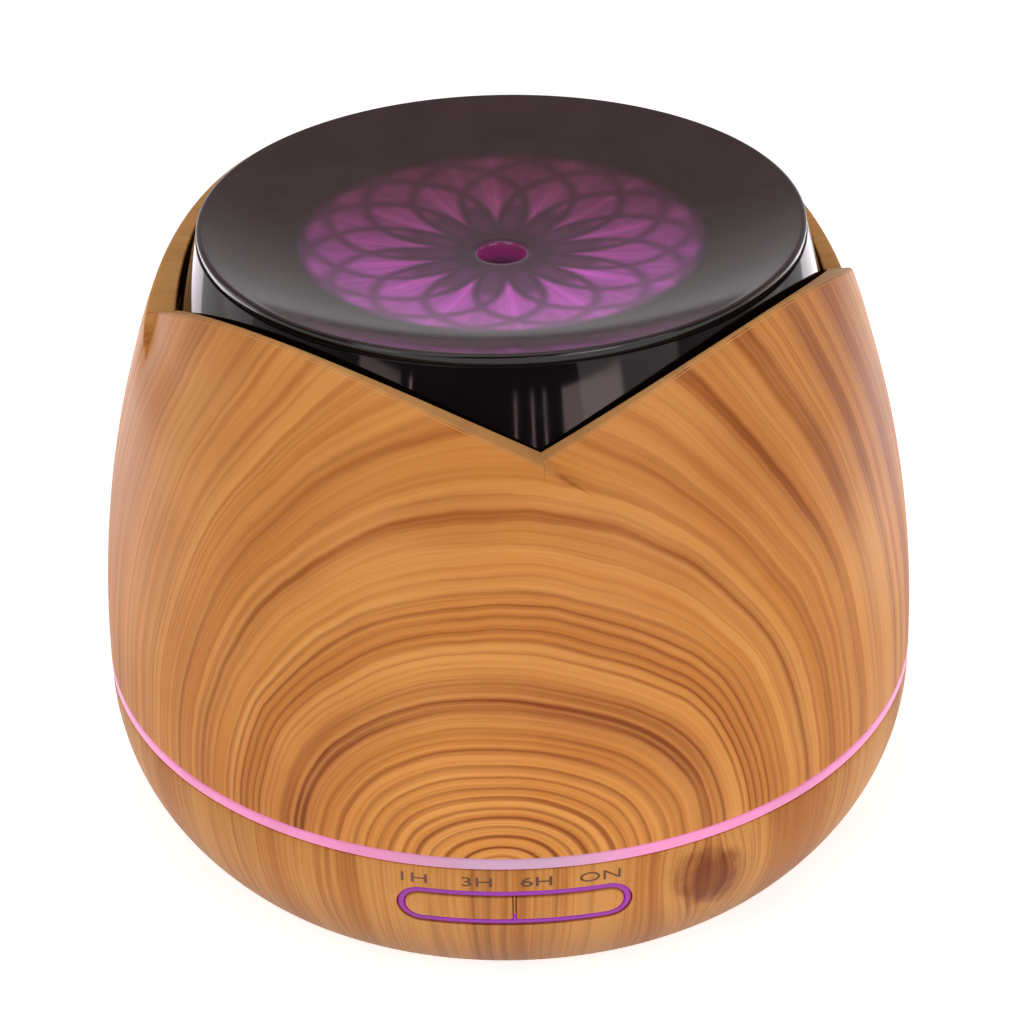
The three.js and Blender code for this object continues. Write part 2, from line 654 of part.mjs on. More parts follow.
base.add(
  piece("lower_shell", lowerShell(), WOOD_GRAIN),
  piece("light_ring", lightRing(), LIT_RING),
  piece("water_tank", waterTank(), MILKY),
  piece("transducer_seal", transducerSeal(), SILICONE),
  piece("transducer_disc", transducerDisc(), STEEL),
  piece("transducer_retainer", transducerRetainer(), WHITE_ABS),
  piece("air_duct", airDuct(), WHITE_ABS),
  piece("duct_gasket", ductGasket(), SILICONE),
  piece("duct_cap", ductCap(), WHITE_ABS),
  piece("fan_frame", fanFrame(), DARK_PLASTIC),
  piece("fan_rotor", fanRotor(), DARK_PLASTIC, 0, FAN_Y),
  piece("bottom_plate", bottomPlate(), WHITE_ABS),
  piece("dc_jack", dcJack(), DARK_PLASTIC),
  piece("button_surround", buttonSurround(), LIT_RING),
  piece("mist_button", button(-1), WOOD_GRAIN),
  piece("light_button", button(1), WOOD_GRAIN),
  piece("button_board", buttonBoard(), BOARD),
  piece("mist_switch", tactSwitch(), DARK_PLASTIC, -SWITCH_X, -74.8, SLOT_Z - 0.8, Math.PI),
  piece("light_switch", tactSwitch(), DARK_PLASTIC, SWITCH_X, -74.8, SLOT_Z - 0.8, Math.PI),
  piece("main_board", mainBoard(), BOARD),
  piece("driver_coil", driverCoil(), COPPER, -14, -22, 11.9),
  piece("capacitor", capacitor(), DARK_PLASTIC, 14, -22, 11.9),
  piece("led_board", ledBoard(), BOARD),
);
around(6, 63, Math.PI / 6).forEach(([x, y], i) =>
  base.add(piece(`led_${i + 1}`, led(), MILKY, x, y, 28.9)),
);
around(3, RETAINER_SCREW_RING).forEach(([x, y], i) =>
  base.add(piece(`retainer_screw_${i + 1}`, screw(2.2, 1.4, 1, 5.6), STEEL, x, y, 33 - GAP)),
);
around(4, POST_RING, Math.PI / 4).forEach(([x, y], i) => {
  const tankScrew = screw(2.4, 1.6, 1.2, 9).rotateX(Math.PI);
  base.add(piece(`tank_screw_${i + 1}`, tankScrew, STEEL, x, y, DECK_TOP + GAP));
});
around(4, PLATE_SCREW_RING, PLATE_SCREW_TURN).forEach(([x, y], i) =>
  base.add(piece(`plate_screw_${i + 1}`, screw(2.4, 1.4, 1.2, 5.6), STEEL, x, y, PLATE_SCREW_SEAT - GAP)),
);
around(4, FOOT_RING, Math.PI / 4).forEach(([x, y], i) =>
  base.add(piece(`foot_${i + 1}`, foot(), RUBBER, x, y)),
);

export default diffuser;
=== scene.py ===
"""Essential oil diffuser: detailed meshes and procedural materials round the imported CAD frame.

Lengths in this file are millimetres unless a name says otherwise; meshes are scaled to metres when they are made.
Angles round the body are measured from the front (-Y) towards +X.
"""

import math

import bmesh
import bpy
import numpy as np
from mathutils import Matrix, Vector


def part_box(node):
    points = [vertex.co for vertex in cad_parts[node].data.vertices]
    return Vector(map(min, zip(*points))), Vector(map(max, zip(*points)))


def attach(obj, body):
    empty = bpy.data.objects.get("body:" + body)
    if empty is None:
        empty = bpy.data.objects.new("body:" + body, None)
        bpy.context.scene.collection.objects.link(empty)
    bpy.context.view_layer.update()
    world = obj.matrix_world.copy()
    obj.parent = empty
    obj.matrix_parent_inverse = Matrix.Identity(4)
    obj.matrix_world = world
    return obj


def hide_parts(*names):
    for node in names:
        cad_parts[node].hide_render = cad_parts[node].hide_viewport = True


MM = 0.001
TAU = 2 * math.pi

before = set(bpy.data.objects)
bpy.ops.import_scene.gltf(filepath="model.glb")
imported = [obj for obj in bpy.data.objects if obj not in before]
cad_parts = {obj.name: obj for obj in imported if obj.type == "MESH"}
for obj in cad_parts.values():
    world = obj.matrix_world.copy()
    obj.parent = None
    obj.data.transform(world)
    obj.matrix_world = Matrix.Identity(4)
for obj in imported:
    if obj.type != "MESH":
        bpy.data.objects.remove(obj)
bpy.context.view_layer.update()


# ---- places taken from the CAD frame ----
def span(node):
    """Lowest and highest corner of a CAD node, in millimetres."""
    low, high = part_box(node)
    return [v / MM for v in low], [v / MM for v in high]


def centre(node):
    low, high = span(node)
    return [(a + b) / 2 for a, b in zip(low, high)]


def radius_of(node):
    low, high = span(node)
    return (high[0] - low[0]) / 2


BODY_R = radius_of("light_ring")
RING_LOW = span("light_ring")[0][2] + 5  # the visible band sits over a 5 mm skirt
RING_TOP = span("light_ring")[1][2]
BASE_Z = span("bottom_plate")[0][2]
PETAL_LOW = RING_TOP - 0.2  # the moulded lips close over the edges of the ring
BAND_LOW, BAND_TOP = RING_LOW + 0.25, RING_TOP - 0.32
PETAL_TOP = span("petal_shell")[1][2]
DRUM_TOP = span("inner_drum")[1][2]
DISH_TOP = span("dish_top")[1][2]
DISH_R = radius_of("dish_top")
SLOT_LOW, SLOT_HIGH = span("button_surround")
SLOT_Z = (SLOT_LOW[2] + SLOT_HIGH[2]) / 2
SLOT_W = SLOT_HIGH[0] - SLOT_LOW[0]
SLOT_H = SLOT_HIGH[2] - SLOT_LOW[2]
FAN_Y = centre("fan_frame")[1]
DUCT_Y = centre("duct_cap")[1]
JACK_Z = centre("dc_jack")[2]

# Outline of the body, as in the CAD part.
BELLY_Z, CROWN_H, SIDE_ARC_R, CORNER_R, WALL = 34, 145, 43.8, 10, 3
ARC_R = BODY_R - SIDE_ARC_R
CORNER_Z = BASE_Z + CORNER_R
CORNER_CENTRE_R = ARC_R + math.sqrt((SIDE_ARC_R - CORNER_R) ** 2 - (BELLY_Z - CORNER_Z) ** 2)
CORNER_END_Z = BELLY_Z - (BELLY_Z - CORNER_Z) * SIDE_ARC_R / (SIDE_ARC_R - CORNER_R)

# Petals.
PETALS = 4
NOTCH = math.radians(5.6)
NOTCH_Z = 114.8
TUCK, LAP, LAP_FADE = 1.6, 0.4, 14
LEDGE_Z, LEDGE_TOP, LEDGE_R = 108, 110.4, 58.5
CREASE_LENGTH, CREASE_DROP = 9, 0.74
FLOWER_R = 40


def outer_radius(z):
    if z >= BELLY_Z:
        return BODY_R * math.sqrt(1 - ((z - BELLY_Z) / CROWN_H) ** 2)
    if z >= CORNER_END_Z:
        return ARC_R + math.sqrt(SIDE_ARC_R**2 - (BELLY_Z - z) ** 2)
    return CORNER_CENTRE_R + math.sqrt(max(CORNER_R**2 - (CORNER_Z - z) ** 2, 0))


def bore_radius(z):
    return 64.4 - 0.2 * (z - NOTCH_Z)


def drum_radius(z):
    return 63.5 - 0.278 * (z - NOTCH_Z)


def smoothstep(x, low, high):
    t = min(max((x - low) / (high - low), 0), 1)
    return t * t * (3 - 2 * t)


def on_body(across, z, proud=0.0):
    """The point of the body's side that is `across` mm round from the front at a height."""
    r = outer_radius(z) + proud
    angle = across / BODY_R
    return (r * math.sin(angle), -r * math.cos(angle), z)


# ---- mesh helpers ----
def new_object(name, verts, faces, sharp=35):
    """A closed mesh from millimetre points, with duplicate points merged and faces turned outwards."""
    mesh = bpy.data.meshes.new(name)
    mesh.from_pydata([tuple(c * MM for c in v) for v in verts], [], faces)
    bm = bmesh.new()
    bm.from_mesh(mesh)
    bmesh.ops.remove_doubles(bm, verts=bm.verts, dist=1e-7)
    bmesh.ops.dissolve_degenerate(bm, edges=bm.edges, dist=1e-8)
    bmesh.ops.recalc_face_normals(bm, faces=bm.faces)
    bm.to_mesh(mesh)
    bm.free()
    obj = bpy.data.objects.new(name, mesh)
    bpy.context.scene.collection.objects.link(obj)
    shade(mesh, sharp)
    return obj


def shade(mesh, sharp):
    mesh.shade_smooth()
    if sharp is not None:
        mesh.set_sharp_from_angle(angle=math.radians(sharp))


def grid(name, rows, wrap_rows=True, sharp=35):
    """A tube of quads over rows of equal length; each row closes on itself."""
    count, width = len(rows), len(rows[0])
    verts = [p for row in rows for p in row]
    faces = []
    for i in range(count if wrap_rows else count - 1):
        for j in range(width):
            a, b = i * width, (i + 1) % count * width
            k = (j + 1) % width
            faces.append((a + j, a + k, b + k, b + j))
    if not wrap_rows:
        faces += [tuple(range(width)), tuple(range((count - 1) * width, count * width))]
    return new_object(name, verts, faces, sharp)


def rounded(corners, steps=5, support=0.25):
    """An outline of (r, z, fillet) corners with each corner rounded and held by a support point on each side."""
    out = []
    for i, (r, z, fillet) in enumerate(corners):
        here = Vector((r, z))
        before = Vector(corners[i - 1][:2]) - here
        after = Vector(corners[(i + 1) % len(corners)][:2]) - here
        if fillet <= 0:
            out.append((r, z))
            continue
        room = 0.45 * min(before.length, after.length)
        before.normalize()
        after.normalize()
        half = math.acos(max(-1, min(1, before.dot(after)))) / 2
        if half > math.pi / 2 - 0.02:
            out.append((r, z))
            continue
        cut = min(fillet / math.tan(half), room)
        size = cut * math.tan(half)
        middle = here + (before + after).normalized() * (size / math.sin(half))
        start, end = here + before * cut - middle, here + after * cut - middle
        turn = math.pi - 2 * half
        if cut + support < room:
            out.append(tuple(here + before * (cut + support)))
        for k in range(steps + 1):
            t = k / steps
            arm = (start * math.sin((1 - t) * turn) + end * math.sin(t * turn)) / math.sin(turn)
            out.append(tuple(middle + arm))
        if cut + support < room:
            out.append(tuple(here + after * (cut + support)))
    return out


def lathe(name, outline, segments=180, sharp=35):
    """Turns a closed outline of (r, z) points round the Z axis."""
    angles = [TAU * j / segments for j in range(segments)]
    rows = [[(r * math.sin(a), -r * math.cos(a), z) for a in angles] for r, z in outline]
    return grid(name, rows, True, sharp)


def turned(name, corners, segments=180, steps=5, sharp=35):
    return lathe(name, rounded(corners, steps), segments, sharp)


def stadium(width, height, count=24):
    """Outline of a slot with round ends, centred on the origin."""
    r = height / 2
    side = width / 2 - r
    points = []
    for end, start in ((1, -0.5), (-1, 0.5)):
        for k in range(count + 1):
            a = math.pi * (start + k / count)
            points.append((end * side + r * math.cos(a), r * math.sin(a)))
        points += [(end * side * (1 - 2 * k / 12), end * r) for k in range(1, 12)]
    return points


def rectangle(width, depth, radius, count=8):
    """Outline of a rectangle with round corners, centred on the origin."""
    points = []
    for i, (sx, sy) in enumerate(((1, 1), (-1, 1), (-1, -1), (1, -1))):
        cx, cy = sx * (width / 2 - radius), sy * (depth / 2 - radius)
        for k in range(count + 1):
            a = math.pi / 2 * (i + k / count)
            points.append((cx + radius * math.cos(a), cy + radius * math.sin(a)))
    return points


def prism(name, outline, low, high, x=0, y=0, round_low=0.0, round_high=0.0, steps=5):
    """A standing prism; outline(inset) gives its 2-D outline, and its end edges are rounded."""
    turns = [math.pi / 2 * k / steps for k in range(steps + 1)]
    bottom, top = [(low, 0)], [(high, 0)]
    if round_low:
        bottom = [(low + round_low * (1 - math.cos(a)), round_low * (1 - math.sin(a))) for a in turns]
    if round_high:
        top = [(high - round_high * (1 - math.sin(a)), round_high * (1 - math.cos(a))) for a in turns]
    rows = [[(x + px, y + py, z) for px, py in outline(inset)] for z, inset in bottom + top]
    return grid(name, rows, False)


def carve(obj, *tools, operation="DIFFERENCE", sharp=35):
    """Cuts (or joins) tools into obj, then removes them."""
    for tool in tools:
        step = obj.modifiers.new("carve", "BOOLEAN")
        step.object, step.operation, step.solver = tool, operation, "EXACT"
    bpy.context.view_layer.update()
    graph = bpy.context.evaluated_depsgraph_get()
    mesh = bpy.data.meshes.new_from_object(obj.evaluated_get(graph))
    mesh.name = obj.name
    obj.modifiers.clear()
    obj.data = mesh
    shade(mesh, sharp)
    for tool in tools:
        bpy.data.objects.remove(tool)
    return obj


def rod(radius, low, high, x=0, y=0, segments=48):
    angles = [TAU * k / segments for k in range(segments)]
    outline = [(radius * math.cos(a), radius * math.sin(a)) for a in angles]
    return prism("tool", lambda inset: outline, low, high, x, y)


def block(name, size, radius, low, high, y=0, round_low=0.0, round_high=0.0, steps=5, count=8, shrink=1.0):
    """A prism over a rectangle with round corners; `shrink` is how fast its corners tighten at rounded ends."""
    def outline(inset):
        return rectangle(size[0] - 2 * inset, size[1] - 2 * inset, radius - inset * shrink, count)

    return prism(name, outline, low, high, 0, y, round_low, round_high, steps)


def turn_to_back(obj, z):
    """Lays a piece that was made along +Z down along +Y, at a height."""
    obj.data.transform(Matrix.Translation((0, 0, z * MM)) @ Matrix.Rotation(-math.pi / 2, 4, "X"))
    return obj


def place(obj, body, slot, material, *nodes):
    """Gives a piece its body and its finish, and hides the CAD nodes that it stands for."""
    obj.data.materials.clear()
    obj.data.materials.append(material)
    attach(obj, body)
    if nodes:
        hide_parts(*nodes)
    return obj


# ---- material helpers ----
def srgb(*levels):
    """8-bit display colour to linear."""
    return tuple((c / 255 / 12.92) if c / 255 <= 0.04045 else ((c / 255 + 0.055) / 1.055) ** 2.4 for c in levels)


class Value:
    """A shader socket that can be written as arithmetic."""

    def __init__(self, paint, socket):
        self.paint, self.socket = paint, socket

    def __abs__(self):
        return self.paint.math("ABSOLUTE", self)


for _name, _node in (("add", "ADD"), ("sub", "SUBTRACT"), ("mul", "MULTIPLY"), ("truediv", "DIVIDE")):
    setattr(Value, f"__{_name}__", lambda self, other, node=_node: self.paint.math(node, self, other))
    setattr(Value, f"__r{_name}__", lambda self, other, node=_node: self.paint.math(node, other, self))


class Graph:
    """A node tree whose values are written as arithmetic."""

    def __init__(self, tree):
        self.tree = tree

    def split(self, vector):
        node = self.tree.nodes.new("ShaderNodeSeparateXYZ")
        self.tree.links.new(vector, node.inputs[0])
        return [Value(self, node.outputs[i]) for i in range(3)]

    def feed(self, socket, value):
        if isinstance(value, Value):
            self.tree.links.new(value.socket, socket)
        elif isinstance(value, tuple) and len(value) == 3 and socket.type == "RGBA":
            socket.default_value = (*value, 1)
        else:
            socket.default_value = value

    def math(self, operation, *values):
        node = self.tree.nodes.new("ShaderNodeMath")
        node.operation = operation
        for socket, value in zip(node.inputs, values):
            self.feed(socket, value)
        return Value(self, node.outputs[0])

    def step(self, value, low, high, to_low=0.0, to_high=1.0, smooth=True):
        """Maps low..high to to_low..to_high; low may be the larger, and the ends are held."""
        node = self.tree.nodes.new("ShaderNodeMapRange")
        node.interpolation_type = "SMOOTHSTEP" if smooth else "LINEAR"
        keys = ("Value", "From Min", "From Max", "To Min", "To Max")
        for key, v in zip(keys, (value, low, high, to_low, to_high)):
            self.feed(node.inputs[key], v)
        return Value(self, node.outputs[0])


class Paint(Graph):
    """A material whose colour, roughness and bump are node arithmetic over the piece's own place."""

    def __init__(self, name, **uniform):
        self.material = bpy.data.materials.new(name)
        self.material.use_nodes = True
        super().__init__(self.material.node_tree)
        self.shader = self.tree.nodes["Principled BSDF"]
        for key, value in uniform.items():
            self.shader.inputs[key.replace("_", " ")].default_value = value
        coords = self.tree.nodes.new("ShaderNodeTexCoord")
        scaled = self.tree.nodes.new("ShaderNodeVectorMath")
        scaled.operation = "SCALE"
        scaled.inputs["Scale"].default_value = 1 / MM
        self.tree.links.new(coords.outputs["Object"], scaled.inputs[0])
        self.place = Value(self, scaled.outputs[0])
        self.x, self.y, self.z = self.split(scaled.outputs[0])

    def vector(self, x, y, z):
        node = self.tree.nodes.new("ShaderNodeCombineXYZ")
        for socket, value in zip(node.inputs, (x, y, z)):
            self.feed(socket, value)
        return Value(self, node.outputs[0])

    def scaled(self, vector, x, y, z):
        node = self.tree.nodes.new("ShaderNodeVectorMath")
        node.operation = "MULTIPLY"
        self.feed(node.inputs[0], vector)
        node.inputs[1].default_value = (x, y, z)
        return Value(self, node.outputs[0])

    def noise(self, vector, scale=1.0, detail=2.0, rough=0.5):
        """Noise about 0.5 at so many cycles a millimetre of the vector."""
        node = self.tree.nodes.new("ShaderNodeTexNoise")
        self.feed(node.inputs["Vector"], vector)
        node.inputs["Scale"].default_value = scale
        node.inputs["Detail"].default_value = detail
        node.inputs["Roughness"].default_value = rough
        return Value(self, node.outputs["Fac"])

    def ramp(self, value, low, high, stops):
        """Reads a value through a curve given as (place, level) stops, at most 32 of them."""
        node = self.tree.nodes.new("ShaderNodeValToRGB")
        self.feed(node.inputs["Fac"], self.step(value, low, high, smooth=False))
        points = node.color_ramp.elements
        stops = sorted(stops)
        while len(points) < len(stops):
            points.new(0.5)
        for point, (at, level) in zip(points, stops):
            point.position = (at - low) / (high - low)
            point.color = (level, level, level, 1)
        return Value(self, node.outputs["Color"])

    def mix(self, factor, a, b):
        node = self.tree.nodes.new("ShaderNodeMix")
        node.data_type = "RGBA"
        color_a, color_b, color_out = node.inputs[6], node.inputs[7], node.outputs[2]
        self.feed(node.inputs["Factor"], factor)
        self.feed(color_a, a)
        self.feed(color_b, b)
        return Value(self, color_out)

    def color(self, value):
        self.feed(self.shader.inputs["Base Color"], value)

    def rough(self, value):
        self.feed(self.shader.inputs["Roughness"], value)

    def glow(self, color, strength):
        self.feed(self.shader.inputs["Emission Color"], color)
        self.feed(self.shader.inputs["Emission Strength"], strength)

    def bump(self, height, depth):
        """Bump from a height of 0 to 1 that stands for so many millimetres."""
        node = self.tree.nodes.new("ShaderNodeBump")
        node.inputs["Strength"].default_value = 1.0
        node.inputs["Distance"].default_value = depth * MM
        self.feed(node.inputs["Height"], height)
        self.tree.links.new(node.outputs["Normal"], self.shader.inputs["Normal"])


def plain(name, dark, light, roughness, grain=0.6, relief=0.02, spread=0.08, **uniform):
    """Moulded plastic, rubber or metal: cloudy colour, uneven gloss and a fine surface texture."""
    p = Paint(name, **uniform)
    cloud = p.noise(p.place, 0.05, 3)
    fine = p.noise(p.place, grain, 4, 0.6)
    p.color(p.mix(p.step(cloud + (fine - 0.5) * 0.25, 0.3, 0.7), srgb(*dark), srgb(*light)))
    p.rough(p.step(p.noise(p.place, 0.12, 4), 0.25, 0.75, roughness - spread, roughness + spread))
    p.bump(fine, relief)
    return p.material


# ---- wood ----
WOOD_LIGHT = srgb(214, 150, 80)
WOOD_MID = srgb(190, 120, 52)
WOOD_DARK = srgb(122, 56, 14)
WOOD_RED = srgb(150, 74, 38)
WOOD_RIM_PAINTED_LIGHT = srgb(244, 186, 122)
GRAIN_TURN = math.radians(-1.5)  # the heart of the grain sits a little left of the front
HEART_A, HEART_B = 1.43, 0.0078  # height to width of the growth rings, and how it falls higher up


def ring_at(height):
    """Ring coordinate of the arch whose top is at this height over the light ring."""
    return HEART_A * height / (1 + HEART_B * height)


def bands(p, ring, low, high, marks):
    """Growth rings as a curve over the ring coordinate, between the arches of two heights.

    A mark is (height of its arch, inner width, outer width, depth); ten fit on one curve.
    """
    low, high = ring_at(low), ring_at(high)
    stops = [(low, 0.0)]
    for height, inner, outer, depth in marks:
        at = ring_at(height)
        stops += [(at - inner, 0.0), (at, depth), (at + outer, 0.0)]
    stops.append((high, 0.0))
    return p.ramp(ring, low, high, stops)


def body_angle(p):
    """The angle round the body from the grain's heart."""
    s, c = math.sin(GRAIN_TURN), math.cos(GRAIN_TURN)
    return p.math("ARCTAN2", p.x * c + p.y * s, p.x * s + (0 - p.y) * c)


def wood_surface(p, dark, red, tone, pore, shade=None):
    """Lays the wood's colours over each other; `shade` is painted shade that darkens them, and the petals' flat rims,
    where they face up, get a painted highlight.
    """
    color = p.mix(tone, WOOD_LIGHT, WOOD_MID)
    color = p.mix(red, color, WOOD_RED)
    color = p.mix(dark, color, WOOD_DARK)
    # painted shade: when given, `shade` scales the wood colour down
    if shade is not None:
        color = p.mix(shade, (0, 0, 0), color)
    # painted highlight: wood that faces up above z 112 (the petals' flat rims) is mixed halfway to a pale colour, in
    # place of light the dish shades off
    facing_up = p.split(p.tree.nodes.new("ShaderNodeNewGeometry").outputs["Normal"])[2]
    edge = p.step(facing_up, 0.62, 0.95) * p.step(p.z, 112, 114)
    p.color(p.mix(edge * 0.5, color, WOOD_RIM_PAINTED_LIGHT))
    p.rough(p.step(pore, 0.2, 0.8, 0.52, 0.4))
    p.bump(pore - dark * 0.1, 0.03)


def cover_wood():
    """Cathedral grain: arches that climb from the light ring at the front and turn into straight grain at the sides."""
    p = Paint("wood_cover", Specular_IOR_Level=0.12)
    across = body_angle(p) * BODY_R
    up = p.math("MAXIMUM", p.z - RING_LOW, 0.0)
    wave = (p.noise(p.place, 0.022, 1) - 0.5) * 4.5 + (p.noise(p.place, 0.09, 1) - 0.5) * 0.8
    round_sq = across * across
    up_sq = up * up
    root = p.math("SQRT", round_sq * (1 - up_sq * HEART_B**2) + up_sq * HEART_A**2)
    ring = (round_sq + up_sq * HEART_A**2) / (up_sq * (HEART_A * HEART_B) + root + 0.01)
    ring = ring + wave * p.step(ring, 2, 30, 0.35, 1.0)
    thin = bands(p, ring, 0, 25.5, [
        (3.4, 0.5, 0.6, 0.4), (5.5, 0.7, 0.7, 0.75), (8.1, 0.8, 0.6, 0.8), (10.3, 0.8, 0.6, 0.7),
        (12.4, 0.9, 0.6, 0.75), (14.5, 0.8, 0.5, 0.65), (16.8, 0.9, 0.6, 0.7), (19.0, 0.8, 0.5, 0.6),
        (21.4, 0.7, 0.5, 0.35), (23.6, 0.9, 0.6, 0.6)])
    heavy = bands(p, ring, 25.5, 45, [
        (27.3, 1.1, 0.5, 0.55), (29.3, 0.5, 0.4, 0.2), (31.1, 1.1, 0.5, 0.45), (33.4, 0.6, 0.5, 0.1),
        (36.0, 0.9, 0.6, 0.5), (37.7, 0.7, 0.6, 0.42), (40.9, 1.6, 0.9, 0.45), (43.6, 0.6, 0.5, 0.12)])
    close = bands(p, ring, 45, 64, [
        (46.6, 0.5, 0.4, 0.3), (48.6, 0.5, 0.4, 0.42), (50.5, 0.5, 0.4, 0.35), (52.8, 0.6, 0.4, 0.5),
        (55.0, 0.6, 0.4, 0.38), (57.6, 0.6, 0.4, 0.45), (60.1, 0.7, 0.5, 0.3)])
    upper = bands(p, ring, 64, 100, [
        (66.8, 0.5, 0.4, 0.12), (71.4, 1.3, 0.8, 0.24), (73.4, 0.5, 0.5, 0.2), (78, 0.8, 0.8, 0.1),
        (84.6, 0.8, 0.6, 0.2), (86.6, 1.0, 0.8, 0.22)])
    outer = p.ramp(ring, 78, 128, [
        (78, 0.0), (82, 0.1), (84, 0.3), (85, 0.05), (90, 0.08), (93, 0.4), (94.5, 0.08), (99, 0.05), (102, 0.42),
        (104, 0.1), (110, 0.05), (113, 0.35), (115, 0.08), (122, 0.2), (128, 0.05)])
    soft = p.ramp(ring, ring_at(26), ring_at(100), [(ring_at(h), v) for h, v in (
        (26, 0.0), (31.5, 0.02), (34.5, 0.2), (36.2, 0.46), (37.8, 0.38), (39.5, 0.12), (41.5, 0.16), (44, 0.02),
        (52, 0.06), (58, 0.0), (67, 0.04), (70, 0.15), (73, 0.12), (77, 0.0), (82, 0.04), (85, 0.12), (88, 0.05),
        (100, 0.0))])
    streak = p.noise(p.vector(ring * 0.16, p.z * 0.003, p.x * 0.05 * 0.06), 1.0, 3, 0.6)
    stripe = p.noise(p.vector(ring * 1.1, p.z * 0.006, p.x * 0.05 * 0.2), 1.0, 2, 0.6)
    pore = p.noise(p.vector(ring * 3.2, p.z * 0.05, p.x * 0.05), 1.0, 2, 0.6)
    along = p.noise(p.place, 0.03, 2)
    level = p.step(along, 0.3, 0.7, 0.85, 1.25)
    sides = p.step(ring, 60, 95)
    right = p.step(across, 8, 36) * p.step(up, 35, 62)
    dark = (thin + heavy + close + upper + soft + outer * (0.75 + right * 0.8)) * level
    dark = dark * p.step(stripe, 0.3, 0.7, 0.7, 1.3)
    dark = dark + p.step(stripe, 0.48, 0.75, 0, 0.2) + p.step(pore, 0.5, 0.8, 0, 0.16)
    dark = dark + p.step(streak, 0.54, 0.72, 0, 0.24) * sides
    red = p.step(streak, 0.45, 0.75, 0.0, 0.25) * sides + p.step(p.noise(p.place, 0.02, 1), 0.45, 0.7, 0, 0.12)
    red = red + (outer * 0.7 + 0.12) * right + soft * 0.5
    tone = p.step(streak * 0.6 + stripe * 0.4 + along * 0.25, 0.42, 0.78)
    wood_surface(p, p.math("MINIMUM", dark, 0.95), red, tone, pore)
    return p.material


KNOT_ACROSS, KNOT_Z = 41.6, 25.8
KNOT_HALF_WIDTH, KNOT_HALF_LENGTH = 6.0, 8.2


def base_wood(name="wood_base"):
    """Straight grain that runs down the base and parts round one knot at the front right."""
    p = Paint(name, Specular_IOR_Level=0.12)
    angle = body_angle(p)
    du, dz = angle * BODY_R - KNOT_ACROSS, p.z - KNOT_Z
    along = (du * 0.62 - dz * 0.78) / KNOT_HALF_LENGTH
    aside = (du * 0.78 + dz * 0.62) / KNOT_HALF_WIDTH
    near = p.math("SQRT", aside * aside + along * along)
    push = p.math("EXPONENT", near * near * -0.5) * -0.7
    wave = (p.noise(p.scaled(p.place, 1, 1, 0.5), 0.05, 1) - 0.5) * 0.035
    bent = angle + du * push / BODY_R + wave
    cx = p.math("SINE", bent) * BODY_R
    cy = p.math("COSINE", bent) * BODY_R
    broad = p.noise(p.vector(cx * 0.09, cy * 0.09, p.z * 0.004), 1.0, 3, 0.55)
    streak = p.noise(p.vector(cx * 0.42, cy * 0.42, p.z * 0.006), 1.0, 3, 0.6)
    stripe = p.noise(p.vector(cx * 1.5, cy * 1.5, p.z * 0.02), 1.0, 2, 0.6)
    pore = p.noise(p.vector(cx * 3.4, cy * 3.4, p.z * 0.12), 1.0, 2, 0.6)
    heart = p.ramp(bent * BODY_R, -16, 16, [
        (-16, 0), (-11, 0.05), (-10.2, 0.3), (-9.6, 0.0), (-6.4, 0.1), (-5.6, 0.62), (-4.8, 0.25), (-3.6, 0.3),
        (-2.9, 0.75), (-2.2, 0.1), (-0.6, 0.1), (0.2, 0.55), (0.9, 0.05), (3.2, 0.05), (4.0, 0.4), (4.6, 0),
        (9.2, 0), (10, 0.3), (10.8, 0), (16, 0)])
    rim = (p.noise(p.place, 0.22, 3) - 0.5) * 1.1 + near
    knot = p.step(rim, 1.5, 0.45) * (p.step(streak, 0.35, 0.65, 0.58, 0.88) + p.step(stripe, 0.4, 0.7, 0, 0.16))
    knot = knot + p.step(near, 2.4, 1.2) * p.step(stripe, 0.45, 0.7, 0.0, 0.2)
    dark = heart * 0.8 + p.step(streak, 0.52, 0.72, 0, 0.4) + p.step(stripe, 0.5, 0.8, 0, 0.22)
    dark = dark + p.step(pore, 0.55, 0.85, 0, 0.12) + knot
    red = p.step(broad, 0.5, 0.75, 0, 0.3) + knot * 0.6
    tone = p.step(broad * 0.6 + stripe * 0.4, 0.4, 0.62)
    # painted shade: the base's wood darkens towards the bottom, from 0.78 of its colour at z 28 to 0.44 at z 2
    shade = p.step(p.z, 2, 28, 0.44, 0.78)
    wood_surface(p, p.math("MINIMUM", dark, 0.95), p.math("MINIMUM", red, 0.8), tone, pore, shade)
    return p.material


# ---- dish with the lit rosette ----
RAYS = 14
RAY_START = math.radians(4)


def rosette(p):
    """Overlapping leaves between two mirrored families of curved lines: 1 in a leaf, 0 on a line or outside."""
    radius = p.math("SQRT", p.x * p.x + p.y * p.y)
    pitch = TAU / RAYS
    angle = p.math("ARCTAN2", p.x, 0 - p.y) - RAY_START
    sweep = sweep_at(p, radius)
    slope = (sweep_at(p, radius + 0.3) - sweep) * (pitch / 0.3) * radius
    thin = (pitch * radius) / p.math("SQRT", 1 + slope * slope)
    lines = []
    for sign in (1, -1):
        turns = angle / pitch + sweep * sign
        off = abs(turns - p.math("ROUND", turns)) * thin
        lines.append(p.step(off, 0.0, p.step(radius, 18, 34, 1.6, 2.3)))
    fold = angle / pitch
    fold = abs(fold - p.math("ROUND", fold))
    gap = p.step(fold - sweep, -0.03, 0.05) * p.step(radius, 24, 18)
    vein = p.noise(p.vector(p.math("SINE", angle) * 16, p.math("COSINE", angle) * 16, radius * 0.03), 1.0, 3, 0.6)
    inside = lines[0] * lines[1] * (1 - gap * 0.86) * p.step(fold, 0.0, 0.26, 1.2, 0.84) * p.step(vein, 0.3, 0.7, 0.72, 1.28)
    start = p.step(radius, 7.5, 12.0)
    edge = p.step(radius, FLOWER_R + 0.6, FLOWER_R - 2.8)
    return inside * start * edge, start * edge, radius


